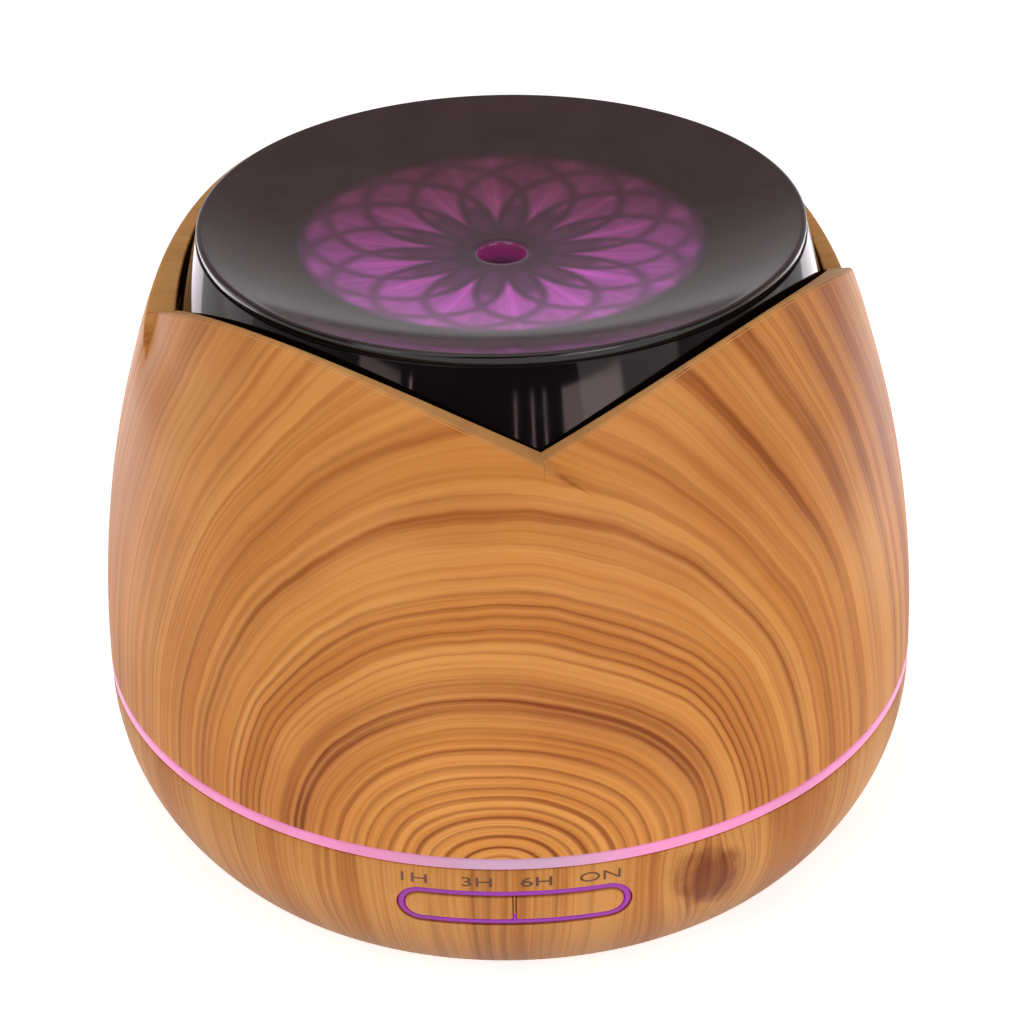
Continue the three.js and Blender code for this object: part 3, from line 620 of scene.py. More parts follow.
def sweep_at(p, radius):
    """How far, in pitches, the two families of lines have turned away from a leaf's axis at a radius."""
    knots = [(0, 0), (8, 0), (11, 0.07), (15, 0.15), (20, 0.27), (26.5, 0.52), (30, 0.74), (33, 1.0), (36, 1.27),
             (38, 1.5), (40, 2.0)]
    radii = np.linspace(0, 41, 31)
    fine = np.linspace(0, 41, 411)
    soft = np.convolve(np.pad(np.interp(fine, *zip(*knots)), 20, "edge"), np.ones(41) / 41, "valid")
    return p.ramp(radius, 0, 41, [(r, float(np.interp(r, fine, soft)) / 2) for r in radii]) * 2


def dish_material():
    """Smoked glossy plastic lit from below through the rosette."""
    p = Paint("smoke_gloss", Roughness=0.1, IOR=1.45)
    leaf, disc, radius = rosette(p)
    haze = p.noise(p.place, 0.09, 3)
    front = p.step(p.y, 34, -34)
    glow = p.mix(front, srgb(124, 46, 86), srgb(170, 66, 166))
    ground = p.step(radius, 6, FLOWER_R + 2, 1.0, 0.0) * 0.06
    clear = p.step(radius, 16, 36, 0.92, 0.6)
    lit = (leaf * clear + disc * (1 - clear)) * p.step(radius, 24, 40, 1.0, 0.72)
    power = lit * p.step(haze, 0.25, 0.75, 0.85, 1.1) * p.step(p.y, 40, -30, 0.48, 0.84) + ground
    bore = p.step(radius, 5.3, 4.75) * p.step(p.z, 118, 121)
    p.glow(p.mix(bore, glow, srgb(150, 10, 110)), power + bore * 0.32)
    fine = p.noise(p.place, 0.8, 3)
    side = p.step(radius, 58.7, 59.15)
    p.color(p.mix(side, p.mix(p.step(haze, 0.3, 0.7), srgb(74, 55, 57), srgb(80, 61, 63)), srgb(16, 10, 12)))
    p.rough(p.step(fine, 0.3, 0.7, 0.11, 0.15))
    p.bump(fine, 0.002)
    return p.material


def flower_material():
    """The printed light guide under the dish, with the same rosette as dark lines on violet."""
    p = Paint("look_flower_print", Roughness=0.4)
    leaf, _, _ = rosette(p)
    p.color(p.mix(leaf, srgb(60, 40, 70), srgb(190, 110, 205)))
    p.glow(p.mix(p.step(p.y, 34, -34), srgb(150, 50, 110), srgb(190, 90, 210)), leaf * 0.4)
    p.bump(p.noise(p.place, 0.5, 3), 0.02)
    return p.material


def lit_material(name, low, high, strength, dark, light):
    """Milky plastic lit from inside, a little uneven round its length."""
    p = Paint(name, Roughness=0.35)
    uneven = p.noise(p.scaled(p.place, 1, 1, 0.2), 0.03, 2)
    middle = p.step(abs(p.x), 30, 4) * p.step(p.y, 0, -20)
    fine = p.noise(p.place, 0.6, 3)
    p.color(p.mix(fine, srgb(*dark), srgb(*light)))
    p.glow(p.mix(middle, srgb(*low), srgb(*high)), p.step(uneven, 0.3, 0.7, strength * 0.88, strength * 1.08))
    p.bump(fine, 0.01)
    return p.material


wood_cover, wood_base, wood_key = cover_wood(), base_wood(), base_wood("wood_key")
black_gloss = plain("black_drum", (7, 4, 5), (12, 8, 9), 0.06, relief=0.001, spread=0.02, Specular_IOR_Level=0.2,
                    Specular_Tint=(1.0, 0.86, 0.86, 1.0))
smoke_dish, flower_print = dish_material(), flower_material()
lit_ring = lit_material("glow_band", (242, 138, 192), (196, 158, 184), 0.86, (88, 58, 74), (104, 70, 88))
lit_slot = lit_material("glow_slot", (158, 22, 148), (160, 32, 178), 0.74, (44, 8, 50), (60, 12, 66))
milky = plain("look_milky_plastic", (216, 214, 207), (222, 220, 213), 0.34, relief=0.003, spread=0.025,
              Subsurface_Weight=0.15)
white = plain("look_white_plastic", (197, 194, 187), (203, 200, 193), 0.48, grain=1.2, relief=0.03, spread=0.04)
silicone = plain("look_silicone", (196, 200, 198), (216, 219, 217), 0.62, relief=0.03)
rubber = plain("look_rubber_feet", (24, 24, 25), (38, 38, 39), 0.8, grain=1.5, relief=0.06)
steel = plain("look_steel", (150, 152, 156), (190, 191, 194), 0.32, grain=2.0, relief=0.01, Metallic=1.0)
board = plain("look_circuit_board", (20, 74, 44), (34, 100, 60), 0.42, grain=1.6, relief=0.02)
dark_plastic = plain("look_dark_plastic", (28, 28, 31), (42, 42, 46), 0.5, grain=1.4, relief=0.03)
copper = plain("look_copper_winding", (150, 84, 40), (196, 120, 66), 0.36, grain=2.5, relief=0.08, Metallic=0.9)
print_ink = plain("print_ink", (74, 42, 24), (104, 62, 36), 0.6, grain=3.0, relief=0.02)


# ---- cover ----
def petal_share(angle):
    """0 at a petal's left end and just under 1 at its right end."""
    turns = PETALS * (angle - NOTCH) / TAU
    return turns - math.floor(turns)


def rim_height(share):
    end = math.cos(math.pi / PETALS)
    return NOTCH_Z + (PETAL_TOP - NOTCH_Z) * max((math.cos((share - 0.5) * TAU / PETALS) - end) / (1 - end), 0)


def petal_columns():
    """Distances round from a notch, close together at the notch and where the crease runs on."""
    near = [0.03, 0.12, 0.3, 0.6, 0.95, 1.35] + [1.8 + 0.5 * i for i in range(17)] + [11, 12.5]
    length = 68.5 * TAU / PETALS
    far = [0.03, 0.12, 0.3, 0.6, 1.0, 1.6, 2.4, 3.4, 4.8]
    middle = list(np.linspace(14, length - 6.4, 54))
    return [d / length for d in near] + [d / length for d in middle] + [1 - d / length for d in reversed(far)], length


def proud(share, z, reach, below):
    """How far the petal stands out; `reach` is the distance from the notch, `below` is 1 under the crease."""
    fade = smoothstep(z, NOTCH_Z - LAP_FADE, NOTCH_Z)
    own = (-TUCK + (LAP + TUCK) * share) * fade
    if reach >= CREASE_LENGTH:
        return own
    weight = (1 - smoothstep(reach, 0.4 * CREASE_LENGTH, CREASE_LENGTH)) * (1 - 0.35 * reach / CREASE_LENGTH)
    return own + (LAP * fade - own) * weight * below


CREASE_ROWS = [(-1.6, 1), (-1.0, 1), (-0.6, 1), (-0.38, 0.985), (-0.22, 0.92), (-0.11, 0.76), (-0.04, 0.46), (0, 0.2),
               (0.04, 0.04), (0.1, 0)]
SIDE_ROWS, RIM_FILLET = 46, 0.45


def petal_column(angle, share, length):
    """One closed ring of points up the outside, over the rim and down the inside."""
    reach, rim = share * length, rim_height(share)
    crease = NOTCH_Z - CREASE_DROP * reach
    blend = smoothstep(reach, CREASE_LENGTH, CREASE_LENGTH + 12)
    split = crease * (1 - blend) + (rim - 12) * blend
    back = (1 - share) * length
    split = max(split, rim - 0.12 - 1.1 * back)
    split = min(split, rim - 0.12 - 0.02 * reach)
    points = []
    floor, top = PETAL_LOW + 0.4, split + CREASE_ROWS[0][0]
    for i in range(SIDE_ROWS):
        z = floor + (top - floor) * (1 - (1 - i / SIDE_ROWS) ** 1.25)
        points.append((outer_radius(z) + proud(share, z, reach, 1), z))
    for dz, below in CREASE_ROWS:
        z = min(split + dz, rim - 0.1 + dz * 0.01)
        points.append((outer_radius(z) + proud(share, z, reach, below), z))
    low = points[-1][1]
    high = rim - RIM_FILLET
    for i in range(1, 13):
        z = low + (high - low) * i / 12 if high > low else low + (rim - low) * 0.02 * i / 12
        points.append((outer_radius(z) + proud(share, z, reach, 0), z))
    edge = outer_radius(rim) + proud(share, rim, reach, 0)
    base = points[-1][1]
    for i in range(1, 7):
        a = math.pi / 2 * i / 6
        points.append((edge - RIM_FILLET * (1 - math.cos(a)), base + (rim - base) * math.sin(a)))
    inner = bore_radius(rim)
    points += [(edge - RIM_FILLET - (edge - inner - 2 * RIM_FILLET) * t, rim) for t in (0.04, 0.3, 0.7, 0.96)]
    for i in range(0, 7):
        a = math.pi / 2 * i / 6
        points.append((inner + RIM_FILLET * (1 - math.sin(a)), rim - RIM_FILLET * (1 - math.cos(a))))
    for i in range(1, 13):
        z = rim - RIM_FILLET + (LEDGE_TOP + 0.3 - rim + RIM_FILLET) * i / 12
        points.append((bore_radius(z), z))
    body = [(LEDGE_R + 0.3, LEDGE_TOP), (LEDGE_R, LEDGE_TOP - 0.3), (LEDGE_R, LEDGE_Z + 0.3), (LEDGE_R + 0.3, LEDGE_Z)]
    inside = [(outer_radius(z) - WALL, z) for z in np.linspace(LEDGE_Z, 44, 24)]
    spigot = [(75.9, 41.5), (75.9, 33.4), (76.2, 33), (77.6, 33), (77.9, 33.3), (77.9, RING_TOP + 0.3),
              (82.4, RING_TOP + 0.3), (82.4, PETAL_LOW)]
    foot_r = outer_radius(PETAL_LOW)
    points += [(bore_radius(LEDGE_TOP) - 0.4, LEDGE_TOP)] + body + inside + spigot
    points += [(foot_r - inset, PETAL_LOW + rise)
               for inset, rise in ((0.6, 0), (0.35, 0), (0.15, 0.06), (0.03, 0.2))]
    return [(r * math.sin(angle), -r * math.cos(angle), z) for r, z in points]


def petal_shell():
    shares, length = petal_columns()
    columns = []
    for petal in range(PETALS):
        for share in shares:
            angle = NOTCH + (petal + share) * TAU / PETALS
            columns.append(petal_column(angle, share, length))
    rows = [list(row) for row in zip(*columns)]
    return grid("petal_cover", rows, True, 32)


def dish_curve(count=60):
    """Upper surface of the dish: a smooth curve through a few measured heights."""
    knots = np.array([(5.4, 123.1), (22, 123.9), (40, 126.1), (50, 128.8), (57.4, 131.2)])
    xs = np.linspace(knots[0, 0], knots[-1, 0], count)
    fit = np.polyfit(knots[:, 0], knots[:, 1], 3)
    return [(x, float(np.polyval(fit, x))) for x in xs]


def make_cover():
    place(petal_shell(), "cover", "wood_grain", wood_cover, "petal_shell")
    flange, drum_top = LEDGE_TOP + 0.3, DRUM_TOP - 0.5
    drum = turned("black_drum", [
        (drum_radius(flange), flange, 0.4), (drum_radius(drum_top), drum_top, 0.3), (58.9, drum_top, 0.2),
        (58.9, 128, 0.2), (56.5, 128, 0), (54.5, 126.6, 0), (54.5, 124.8, 0.3), (drum_radius(126.6) - 1.8, 124.8, 0.5),
        (drum_radius(flange + 4) - 1.8, flange + 4, 0.5), (LEDGE_R, flange + 4, 0.3), (LEDGE_R, flange, 0.3)], 240)
    place(drum, "cover", "black_gloss", black_gloss, "inner_drum")
    upper = dish_curve()
    lip = [(r, DISH_TOP - drop) for r, drop in (
        (58.1, 0.1), (58.4, 0), (58.75, 0.04), (59.05, 0.2), (59.2, 0.45), (59.25, 0.75), (59.25, 1.5), (59.15, 1.8),
        (58.95, 1.9), (58.6, 1.9), (DISH_R, 2.1))] + [(DISH_R, 128.6), (58.4, 128.4), (56.4, 128.4)]
    lower = [(min(r, 53.6), z - 1.6) for r, z in reversed(upper) if 7 < r < 53.6]
    hole = [(6.1, 121.5), (6.1, 117.2), (5.9, 117), (4.8, 117), (4.6, 117.2)]
    outline = [(4.6, 122.3), (4.75, 122.75), (5.0, 122.98)] + upper + lip + lower + hole
    place(lathe("dish", outline, 240, 40), "cover", "smoke_plastic", smoke_dish, "dish_top")
    plate = [(r, z - 1.9) for r, z in upper if 12 < r < 36.4]
    guide = lathe("flower_plate_print", plate + [(r, z - 1.2) for r, z in reversed(plate)], 180)
    place(guide, "cover", "flower_print", flower_print, "flower_plate")
    nozzle = turned("mist_chimney", [
        (8, 121, 0.2), (12.6, 121, 0.4), (12.6, 119.4, 0.4), (9.6, 119.4, 0.4), (9.6, 93, 0.5), (8, 93, 0.5)], 96)
    place(nozzle, "cover", "milky_plastic", milky, "mist_nozzle")
    seal = turned("chimney_seal", [(12.2, 117.4, 0.5), (12.2, 119.1, 0.5), (9.9, 119.1, 0.3), (9.9, 117.4, 0.3)], 96)
    place(seal, "cover", "silicone", silicone, "nozzle_seal")


# ---- base ----
def base_side(high, inset, count):
    """The base's side as (r, z) from its underside up, evenly round the corner."""
    end = math.atan2(CORNER_CENTRE_R - ARC_R, BELLY_Z - CORNER_Z)
    start = math.asin((BELLY_Z - CORNER_END_Z) / SIDE_ARC_R)
    small, large = CORNER_R - inset, SIDE_ARC_R - inset
    points = []
    for i in range(count + 1):
        a = end * i / count
        points.append((CORNER_CENTRE_R + small * math.sin(a), CORNER_Z - small * math.cos(a)))
    for i in range(1, count + 1):
        a = start * (1 - i / count)
        points.append((ARC_R + large * math.cos(a), BELLY_Z - large * math.sin(a)))
    return points + [(outer_radius(high) - inset, high)]


def front_tool(width, height):
    """A rounded slot that runs from y -95 to -66."""
    outline = stadium(width, height)
    rows = [[(x, y, SLOT_Z + z) for x, z in outline] for y in (-95, -66)]
    return grid("tool", rows, False)


def make_shell():
    high = RING_LOW + 0.12
    outer = base_side(high - 0.35, 0, 22) + [(outer_radius(high) - 0.1, high - 0.1), (outer_radius(high) - 0.35, high)]
    inner = [(82.4, high), (82.4, RING_LOW - 0.3)] + base_side(RING_LOW - 0.3, WALL, 10)[::-1]
    inner = [p for p in inner if p[1] > BASE_Z + WALL + 0.01]
    outer = [p for p in outer if p[0] > 62.6]
    outline = [(62.3, BASE_Z + 0.25), (62.5, BASE_Z)] + outer + inner + [(62.3, BASE_Z + WALL)]
    shell = lathe("lower_body", outline, 240, 30)
    socket = turn_to_back(rod(4.0, 70, 90), JACK_Z)
    carve(shell, front_tool(SLOT_W + 0.6, SLOT_H + 0.6), socket, sharp=30)
    place(shell, "base", "wood_grain", wood_base, "lower_shell")
    ring = turned("glow_ring", [
        (78.4, 31, 0.2), (80.2, 31, 0.2), (80.2, RING_LOW, 0), (82.1, RING_LOW, 0), (82.1, BAND_LOW, 0),
        (BODY_R, BAND_LOW, 0.4), (BODY_R, BAND_TOP, 0.4), (82.1, BAND_TOP, 0), (82.1, RING_TOP, 0),
        (78.4, RING_TOP, 0.2)], 240)
    place(ring, "base", "lit_ring", lit_ring, "light_ring")


def curved_face(across_z, proud_by):
    """Puts a front-view outline point on the body's side."""
    x, z = across_z
    r = outer_radius(z) + proud_by
    return (x, -math.sqrt(r * r - x * x), z)


def make_surround():
    """Lit ring round the buttons: a rounded band that follows the body's side."""
    outer, inner = stadium(SLOT_W, SLOT_H), stadium(SLOT_W - 2.2, SLOT_H - 2.2)
    profile = [(0, -2.4), (0, -0.5), (0.08, -0.33), (0.25, -0.25), (0.75, -0.25), (0.92, -0.33), (1, -0.5), (1, -2.4)]
    rows = []
    for share, depth in profile:
        rows.append([curved_face((ox + (ix - ox) * share, SLOT_Z + oz + (iz - oz) * share), depth)
                     for (ox, oz), (ix, iz) in zip(outer, inner)])
    place(grid("button_glow", rows, True), "base", "lit_ring", lit_slot, "button_surround")


KEY_SPLIT = 0.72


def half_slot(side, width, height, split):
    """Outline of one half of the slot: a round end away from the middle and a straight end at the split."""
    r = height / 2
    far, near, corner = width / 2 - r, split / 2, 0.5
    turns = (0.4, 0.8, 1.2)
    points = [(far + r * math.sin(math.pi * k / 32), r * math.cos(math.pi * k / 32)) for k in range(33)]
    points += [(far + (near + corner - far) * k / 16, -r) for k in range(1, 17)]
    points += [(near + corner * (1 - math.sin(a)), -r + corner * (1 - math.cos(a))) for a in (*turns, math.pi / 2)]
    points += [(near, -r + corner + (height - 2 * corner) * k / 8) for k in range(1, 9)]
    points += [(near + corner * (1 - math.cos(a)), r - corner * (1 - math.sin(a))) for a in turns]
    points += [(near + corner + (far - near - corner) * k / 16, r) for k in range(0, 16)]
    return [(side * x, z) for x, z in points]


def make_button(name, side, body, node):
    """A wood-covered key, flush with the side, with rounded edges."""
    width, height, split = SLOT_W - 2.8, SLOT_H - 2.8, KEY_SPLIT
    outline = half_slot(side, width, height, split)
    low, high = side * (split / 2 + height / 2), side * (width / 2 - height / 2)
    low, high = min(low, high), max(low, high)

    def inset(share, depth):
        row = []
        for x, z in outline:
            mx = min(max(x, low), high)
            row.append(curved_face((x + (mx - x) * share, SLOT_Z + z * (1 - share)), depth))
        return row

    rim = 0.35 / (height / 2)
    rows = [inset(1.0, -2.0), inset(0.5, -2.0), inset(0.02, -2.0), inset(0.0, -1.95), inset(0.0, -0.4)]
    rows += [inset(rim * (1 - math.cos(a)), -0.03 - 0.32 * (1 - math.sin(a))) for a in (0.3, 0.7, 1.1, math.pi / 2)]
    rows += [inset(share, -0.03) for share in (0.16, 0.3, 0.5, 0.75, 1.0)]
    count = len(outline)
    verts = [p for row in rows for p in row]
    faces = [(i * count + j, i * count + (j + 1) % count, (i + 1) * count + (j + 1) % count, (i + 1) * count + j)
             for i in range(len(rows) - 1) for j in range(count)]
    key = new_object(name, verts, faces, 40)
    place(key, body, "wood_grain", wood_key, node)


def make_divider():
    """The thin bar between the keys, with the small pilot light at its lower end."""
    half, low, high = 0.2, SLOT_LOW[2] + 1.3, SLOT_HIGH[2] - 1.3
    for name, z0, z1, depth, slot, look in (("key_divider", low + 1.5, high, -0.25, "wood_grain", wood_key),
                                            ("pilot_light", low, low + 1.3, -0.1, "lit_ring", lit_slot)):
        arc = [(half, depth - 0.08), (half, -2.0)]
        profile = [(-half, -2.0), (-half, depth - 0.08), (-half + 0.08, depth), (half - 0.08, depth)] + arc
        rows = [[curved_face((x, z), d) for x, d in profile] for z in np.linspace(z0, z1, 12)]
        place(grid(name, rows, False), "base", slot, look)


DUCT_HOLE = (24.6, 13.6)


def make_tank():
    tank = turned("tank", [
        (8.5, 38.5, 0.2), (18, 38.5, 0), (19, 41.5, 0), (67.5, 41.5, 0.5), (67.5, 29, 0.3), (78, 29, 0.3),
        (78, 31.5, 0.4), (70, 31.5, 1.2), (70, 88, 0.7), (67.5, 88, 0.7), (67.5, 44, 7), (17, 44, 0.8), (16, 41, 0.8),
        (8.5, 41, 0.3)], 200, 7)
    carve(tank, block("tool", DUCT_HOLE, 4, 36, 50, DUCT_Y))
    place(tank, "base", "milky_plastic", milky, "water_tank")
    gasket = block("duct_seal", (29, 18), 5, 44.3, 46.5, DUCT_Y, 0.2, 0.9)
    carve(gasket, block("tool", DUCT_HOLE, 4, 40, 50, DUCT_Y))
    place(gasket, "base", "silicone", silicone, "duct_gasket")
    duct_top = span("air_duct")[1][2]
    duct = block("duct", (24, 13), 4, 22, duct_top, DUCT_Y, 0, 0.5)
    carve(duct, block("tool", (38, 38), 3, 15.1, 24.3, FAN_Y, 0.3, 1.0), operation="UNION")
    carve(duct, block("tool", (34, 34), 2, 14, 22.8, FAN_Y), block("tool2", (20, 9), 2, 21.3, duct_top + 1, DUCT_Y))
    place(duct, "base", "white_plastic", white, "air_duct")
    low, high = duct_top - 6, duct_top + 6
    cap = block("duct_hood", (27.6, 16.6), 5, low, high, DUCT_Y, 0.4, 2.2, 7, 10)
    hollow = block("tool", (24.8, 13.8), 4, low - 1, high - 1.5, DUCT_Y, 0, 0.5)
    slots = []
    z0, z1 = duct_top + 0.8, duct_top + 3.6
    for x in (-6, 0, 6):
        outline = stadium(3.6, z1 - z0, 8)
        rows = [[(x + px, y, (z0 + z1) / 2 + pz) for px, pz in outline] for y in (DUCT_Y - 20, DUCT_Y + 20)]
        slots.append(grid(f"slot{x}", rows, False))
    carve(cap, hollow, *slots)
    place(cap, "base", "white_plastic", white, "duct_cap")


def make_transducer():
    seal = turned("disc_seal", [(7.2, 36.4, 0.3), (11.6, 36.4, 0.3), (11.6, 38.2, 0.6), (7.2, 38.2, 0.6)], 96)
    place(seal, "base", "silicone", silicone, "transducer_seal")
    disc = lathe("mist_disc", [
        (0, 34.9), (9.8, 34.9), (10, 35.05), (10, 35.95), (9.8, 36.1), (6.3, 36.1), (6.1, 36.0), (0.9, 36.0),
        (0.6, 36.08), (0, 36.08)], 96)
    place(disc, "base", "steel", steel, "transducer_disc")


def make_bottom():
    top = BASE_Z + 2.5
    plate = turned("base_plate", [(0.001, BASE_Z, 0), (62, BASE_Z, 0.4), (62, top, 0.3), (0.001, top, 0)], 240)
    tools = []
    for x in range(-15, 16, 5):
        length = 2 * math.sqrt(18**2 - x**2)
        outline = stadium(length, 2.6, 10)
        rows = [[(x + b, FAN_Y + a, z) for a, b in outline] for z in (BASE_Z - 1, top + 1)]
        tools.append(grid(f"grille{x}", rows, False))
    for i in range(4):
        a = TAU * i / 4
        fx, fy = 50 * math.sin(a + TAU / 8), -50 * math.cos(a + TAU / 8)
        sx, sy = 58 * math.sin(a + TAU / 16), -58 * math.cos(a + TAU / 16)
        tools.append(rod(6.3, BASE_Z - 1, BASE_Z + 0.8, fx, fy))
        tools.append(rod(3.0, BASE_Z - 1, 3.7, sx, sy, 36))
        tools.append(rod(1.8, BASE_Z, top + 1, sx, sy, 24))
    carve(plate, *tools)
    place(plate, "base", "white_plastic", white, "bottom_plate")
    for i in range(4):
        x, y, _ = centre(f"foot_{i + 1}")
        pad = turned(f"pad_{i + 1}", [
            (0.001, 0.25, 0), (4.2, 0.25, 0.2), (4.5, 0, 0.15), (6, 0, 0.6), (6, 2.5, 0.3), (0.001, 2.5, 0)], 64)
        pad.data.transform(Matrix.Translation((x * MM, y * MM, 0)))
        place(pad, "base", "rubber_feet", rubber, f"foot_{i + 1}")


def screw_mesh(name, head, height, shank, length, threads=0.7):
    """A pan-head screw with a cross recess, its thread as stacked ridges, pointing up from z 0."""
    dome = ((0, 1), (0.45, 0.99), (0.75, 0.86), (0.94, 0.55), (1, 0.22))
    outline = [(head * across, -height * up) for across, up in dome]
    outline += [(head, -0.05), (head - 0.05, 0), (shank + 0.1, 0), (shank, 0.15)]
    z = 0.5
    while z < length - 1.3:
        outline += [(shank * 0.84, z), (shank, z + threads / 2)]
        z += threads
    outline += [(shank * 0.8, z), (0, length)]
    obj = lathe(name, outline, 40, 50)
    long, narrow, depth = head * 1.15, head * 0.24, min(0.9, height * 0.55)
    arms = [block("tool", size, 0.04, -height - 1, -height + depth) for size in ((long, narrow), (narrow, long))]
    return carve(obj, *arms, sharp=40)


def make_screws():
    kinds = [("cover_screw", 4, "cover", (2.6, 1.8, 1.25, 5), 1), ("retainer_screw", 3, "base", (2.2, 1.4, 1, 5.6), 1),
             ("tank_screw", 4, "base", (2.4, 1.6, 1.2, 9), -1), ("plate_screw", 4, "base", (2.4, 1.4, 1.2, 5.6), 1)]
    for name, count, body, sizes, way in kinds:
        master = screw_mesh(name + "_master", *sizes).data
        for i in range(count):
            node = f"{name}_{i + 1}"
            x, y, _ = centre(node)
            low, high = span(node)
            seat = low[2] + sizes[1] if way > 0 else high[2] - sizes[1]
            mesh = master.copy()
            if way < 0:
                mesh.transform(Matrix.Rotation(math.pi, 4, "X"))
            mesh.transform(Matrix.Translation((x * MM, y * MM, seat * MM)) @ Matrix.Rotation(0.5 + 1.3 * i, 4, "Z"))
            obj = bpy.data.objects.new(f"{node}_cross", mesh)
            bpy.context.scene.collection.objects.link(obj)
            place(obj, body, "steel", steel, node)
        bpy.data.objects.remove(bpy.data.objects[name + "_master"])


def make_jack():
    front = outer_radius(JACK_Z) - 1
    barrel = turned("tool", [
        (0.001, 64, 0), (3.7, 64, 0.2), (3.7, front, 0.35), (2.8, front, 0.3), (2.8, front - 7.5, 0.2),
        (0.001, front - 7.5, 0)], 64)
    jack = turn_to_back(barrel, JACK_Z)
    jack.name = "power_socket"
    housing = block("tool", (9, 11), 0.6, JACK_Z - 5.5, JACK_Z + 5.5, 67, 0.4, 0.4, shrink=0.5)
    pin = turned("pin", [(0.001, front - 8, 0), (1, front - 8, 0), (1, front - 1, 0.4), (0.001, front - 1, 0)], 32)
    carve(jack, housing, turn_to_back(pin, JACK_Z), operation="UNION")
    place(jack, "base", "dark_plastic", dark_plastic, "dc_jack")


def make_rotor():
    """Fan rotor: a cap and seven pitched, tapering blades."""
    low, high = 6.7, 13.8
    hub = turned("fan_wheel", [
        (1.4, low, 0), (8.5, low, 0.6), (8.5, high, 1.2), (0.001, high, 0), (0.001, high - 0.9, 0),
        (1.4, high - 0.9, 0)], 72)
    blades = []
    for i in range(7):
        rows = []
        for k in range(7):
            out = k / 6
            r, pitch, chord = 7.9 + 9.6 * out, 0.72 - 0.32 * out, 7.2 + 2.6 * out
            turn = TAU * i / 7 + 0.12 * out
            row = []
            for px, pz in stadium(chord, 0.9, 5):
                pz += 0.7 * (1 - (2 * px / chord) ** 2)
                a = px * math.cos(pitch) - pz * math.sin(pitch)
                b = px * math.sin(pitch) + pz * math.cos(pitch)
                x, y = r * math.cos(turn) - a * math.sin(turn), r * math.sin(turn) + a * math.cos(turn)
                row.append((x, y, (low + high) / 2 + max(min(b, 3.0), -3.0)))
            rows.append(row)
        blades.append(grid(f"blade{i}", rows, False))
    carve(hub, *blades, operation="UNION")
    hub.data.transform(Matrix.Translation((0, FAN_Y * MM, 0)))
    place(hub, "fan", "dark_plastic", dark_plastic, "fan_rotor")


def make_marks():
    """Timer marks printed over the slot: one, three and six hours, and on."""
    for i, (words, across) in enumerate((("1H", -19.3), ("3H", -7.0), ("6H", 4.3), ("ON", 16.4))):
        curve = bpy.data.curves.new(f"mark_{i}", "FONT")
        curve.body, curve.align_x, curve.size = words, "CENTER", 1.0
        text = bpy.data.objects.new(f"mark_{i}", curve)
        bpy.context.scene.collection.objects.link(text)
        bpy.context.view_layer.update()
        flat = bpy.data.meshes.new_from_object(text.evaluated_get(bpy.context.evaluated_depsgraph_get()))
        bpy.data.objects.remove(text)
        bm = bmesh.new()
        bm.from_mesh(flat)
        bmesh.ops.triangulate(bm, faces=bm.faces)
        bmesh.ops.subdivide_edges(bm, edges=[e for e in bm.edges if e.calc_length() > 0.12], cuts=3)
        extruded = bmesh.ops.extrude_face_region(bm, geom=bm.faces[:])
        moved = {v for v in extruded["geom"] if isinstance(v, bmesh.types.BMVert)}
        for v in bm.verts:
            depth = 0.05 if v in moved else -0.02
            x, z = v.co.x * 5.3, v.co.y * 3.1
            v.co = Vector(on_body(across + x, 32.3 + z, depth)) * MM
        bmesh.ops.recalc_face_normals(bm, faces=bm.faces)
        bm.to_mesh(flat)
        bm.free()
        mark = bpy.data.objects.new(f"hour_mark_{i + 1}", flat)
        bpy.context.scene.collection.objects.link(mark)
        place(mark, "base", "dark_plastic", print_ink)


SLOT_LOOKS = {
    "wood_grain": wood_base, "black_gloss": black_gloss, "smoke_plastic": smoke_dish, "flower_print": flower_print,
    "lit_ring": lit_ring, "milky_plastic": milky, "white_plastic": white, "silicone": silicone, "steel": steel,
    "rubber_feet": rubber, "circuit_board": board, "dark_plastic": dark_plastic, "copper_winding": copper}


def paint_cad_nodes():
    """Gives every CAD node the look of its material slot in the record."""
    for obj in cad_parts.values():
        look = SLOT_LOOKS[obj.data.materials[0].name.split(".")[0]]
        obj.data.materials.clear()
        obj.data.materials.append(look)


# ---- studio ----
def area_light(name, at, target, size, power, color=(1, 1, 1), size_y=None):
    lamp = bpy.data.lights.new(name, "AREA")
    lamp.energy, lamp.color, lamp.size = power, color, size
    if size_y:
        lamp.shape, lamp.size_y = "RECTANGLE", size_y
    obj = bpy.data.objects.new(name, lamp)
    bpy.context.scene.collection.objects.link(obj)
    obj.location = at
    obj.rotation_euler = (Vector(target) - Vector(at)).to_track_quat("-Z", "Y").to_euler()


FLOOR_GLOW, SKY_GLOW = 0.68, 0.15
# Upright strips a metre in front, which the drum mirrors: degrees from the front, width, brightness.
STRIPS = ((-42, 0.26, 3.2), (-31, 0.012, 9), (3.5, 0.012, 6), (9, 0.012, 6), (13, 0.01, 7), (29, 0.36, 5.0))
STRIP_HEIGHT = 0.24


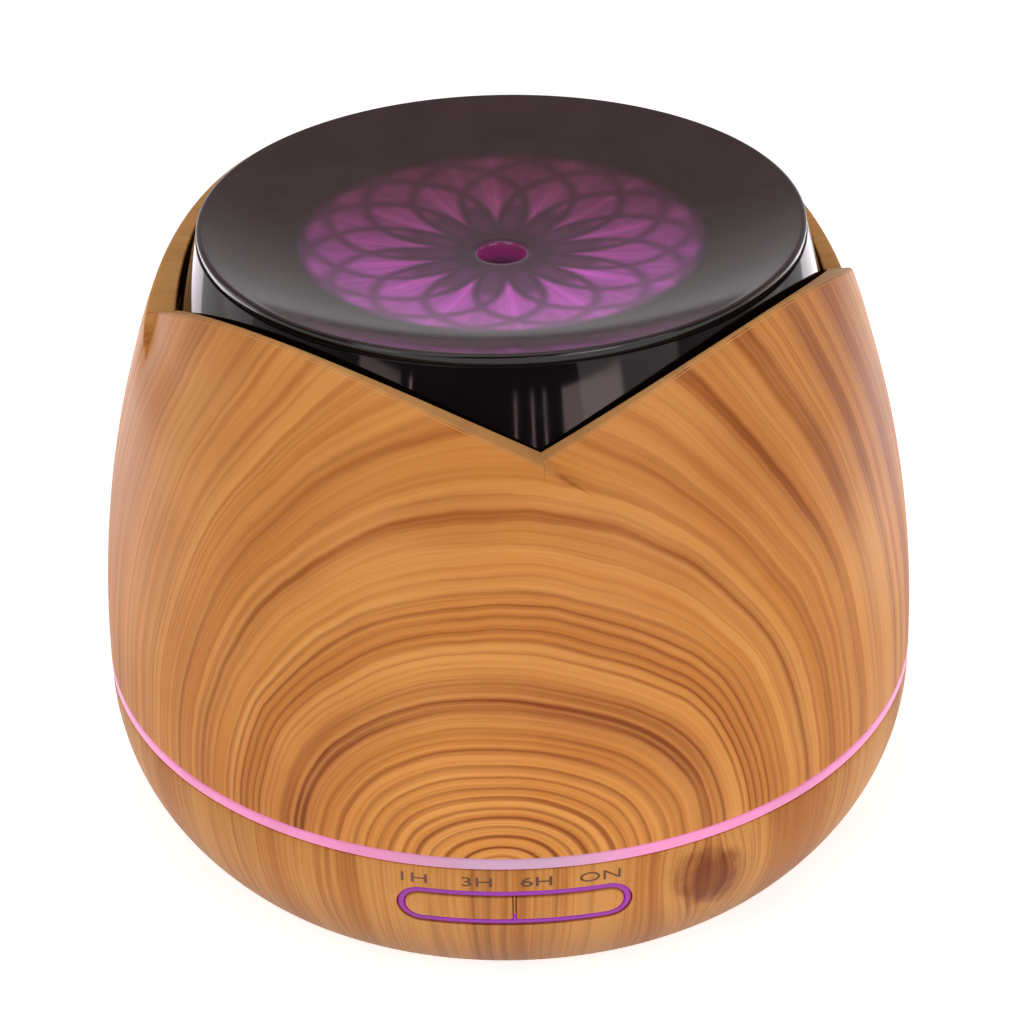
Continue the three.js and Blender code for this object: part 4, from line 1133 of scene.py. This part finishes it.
def make_floor():
    """A pale floor, which is clear from below so that the underside can be seen."""
    bm = bmesh.new()
    bmesh.ops.create_grid(bm, x_segments=8, y_segments=8, size=6)
    mesh = bpy.data.meshes.new("floor")
    bm.to_mesh(mesh)
    bm.free()
    floor = bpy.data.objects.new("floor", mesh)
    bpy.context.scene.collection.objects.link(floor)
    paint = Paint("floor_white", Roughness=0.9, Specular_IOR_Level=0.0, Emission_Color=(1, 1, 1, 1),
                  Emission_Strength=FLOOR_GLOW)
    paint.color(paint.mix(paint.noise(paint.place, 0.01), (0.9, 0.9, 0.9), (0.93, 0.93, 0.93)))
    nodes, link = paint.tree.nodes, paint.tree.links.new
    sides = nodes.new("ShaderNodeMixShader")
    link(nodes.new("ShaderNodeNewGeometry").outputs["Backfacing"], sides.inputs[0])
    link(paint.shader.outputs[0], sides.inputs[1])
    link(nodes.new("ShaderNodeBsdfTransparent").outputs[0], sides.inputs[2])
    link(sides.outputs[0], nodes["Material Output"].inputs["Surface"])
    mesh.materials.append(paint.material)


def make_sky():
    """Soft light all round, with a brighter backdrop behind the object and a glow along the horizon beside it."""
    world = bpy.data.worlds.new("studio")
    bpy.context.scene.world = world
    world.use_nodes = True
    sky = Graph(world.node_tree)
    _, y, z = sky.split(sky.tree.nodes.new("ShaderNodeTexCoord").outputs["Generated"])
    backdrop = sky.step(y, -0.1, 0.8, 0.0, 0.45) * sky.step(z, 0.6, 0.15, 0.05, 1.0)
    horizon = sky.step(z, 0.3, 0.12, 0.0, 0.55) * sky.step(y, -0.8, -0.25, 0.0, 1.0)
    background = sky.tree.nodes["Background"]
    background.inputs["Color"].default_value = (1, 1, 1, 1)
    sky.feed(background.inputs["Strength"], sky.math("MAXIMUM", backdrop, horizon) + SKY_GLOW)


def make_lights():
    aim = (0, 0, 0.065)
    area_light("key", (-0.75, -0.95, 0.95), aim, 0.9, 4.9)
    area_light("fill", (0.85, -0.9, 0.6), aim, 0.9, 4.4)
    area_light("top", (0, -0.25, 1.3), aim, 0.9, 2.7)
    area_light("left_edge", (-0.9, 0.25, 0.25), aim, 0.35, 0.7, (1.0, 0.86, 0.86), 0.6)
    area_light("right_edge", (0.9, 0.25, 0.25), aim, 0.35, 0.7, (1.0, 0.86, 0.86), 0.6)
    for i, (turn, width, glow) in enumerate(STRIPS):
        a = math.radians(turn)
        power = math.pi * width * STRIP_HEIGHT * glow
        area_light(f"strip_{i}", (math.sin(a), -math.cos(a), 0.13), (0, 0, 0.12), width, power, (1, 0.86, 0.88),
                   STRIP_HEIGHT)
    for side in (-1, 1):
        x = side * 0.3
        area_light(f"floor_panel_{side + 1}", (x, 0.2, 0.003), (x, 0.2, 1), 0.24, 0.6, (1, 0.9, 0.97), 0.36)


def make_camera():
    """The photograph's view: 31 degrees above the horizon, turned a little about its own axis."""
    elevation, roll = 0.54737, -0.01978
    back = Vector((0, -math.cos(elevation), math.sin(elevation)))
    right, up = Vector((1, 0, 0)), Vector((0, math.sin(elevation), math.cos(elevation)))
    data = bpy.data.cameras.new("camera")
    data.lens, data.sensor_width = 96.03, 36
    data.clip_start, data.clip_end = 0.01, 20
    camera = bpy.data.objects.new("camera", data)
    bpy.context.scene.collection.objects.link(camera)
    at = Vector((0, 0, 0.062)) + back * 0.56757 + right * 0.00098 + up * 0.0011
    axis_x = right * math.cos(roll) + up * math.sin(roll)
    axis_y = up * math.cos(roll) - right * math.sin(roll)
    camera.matrix_world = Matrix.Translation(at) @ Matrix((axis_x, axis_y, back)).transposed().to_4x4()
    bpy.context.scene.camera = camera


paint_cad_nodes()
make_cover()
make_shell()
make_surround()
make_divider()
make_button("mist_key_cap", -1, "mist_key", "mist_button")
make_button("light_key_cap", 1, "light_key", "light_button")
make_tank()
make_transducer()
make_bottom()
make_screws()
make_jack()
make_rotor()
make_marks()
make_floor()
make_sky()
make_lights()
make_camera()
bpy.context.scene.view_settings.view_transform = "Standard"
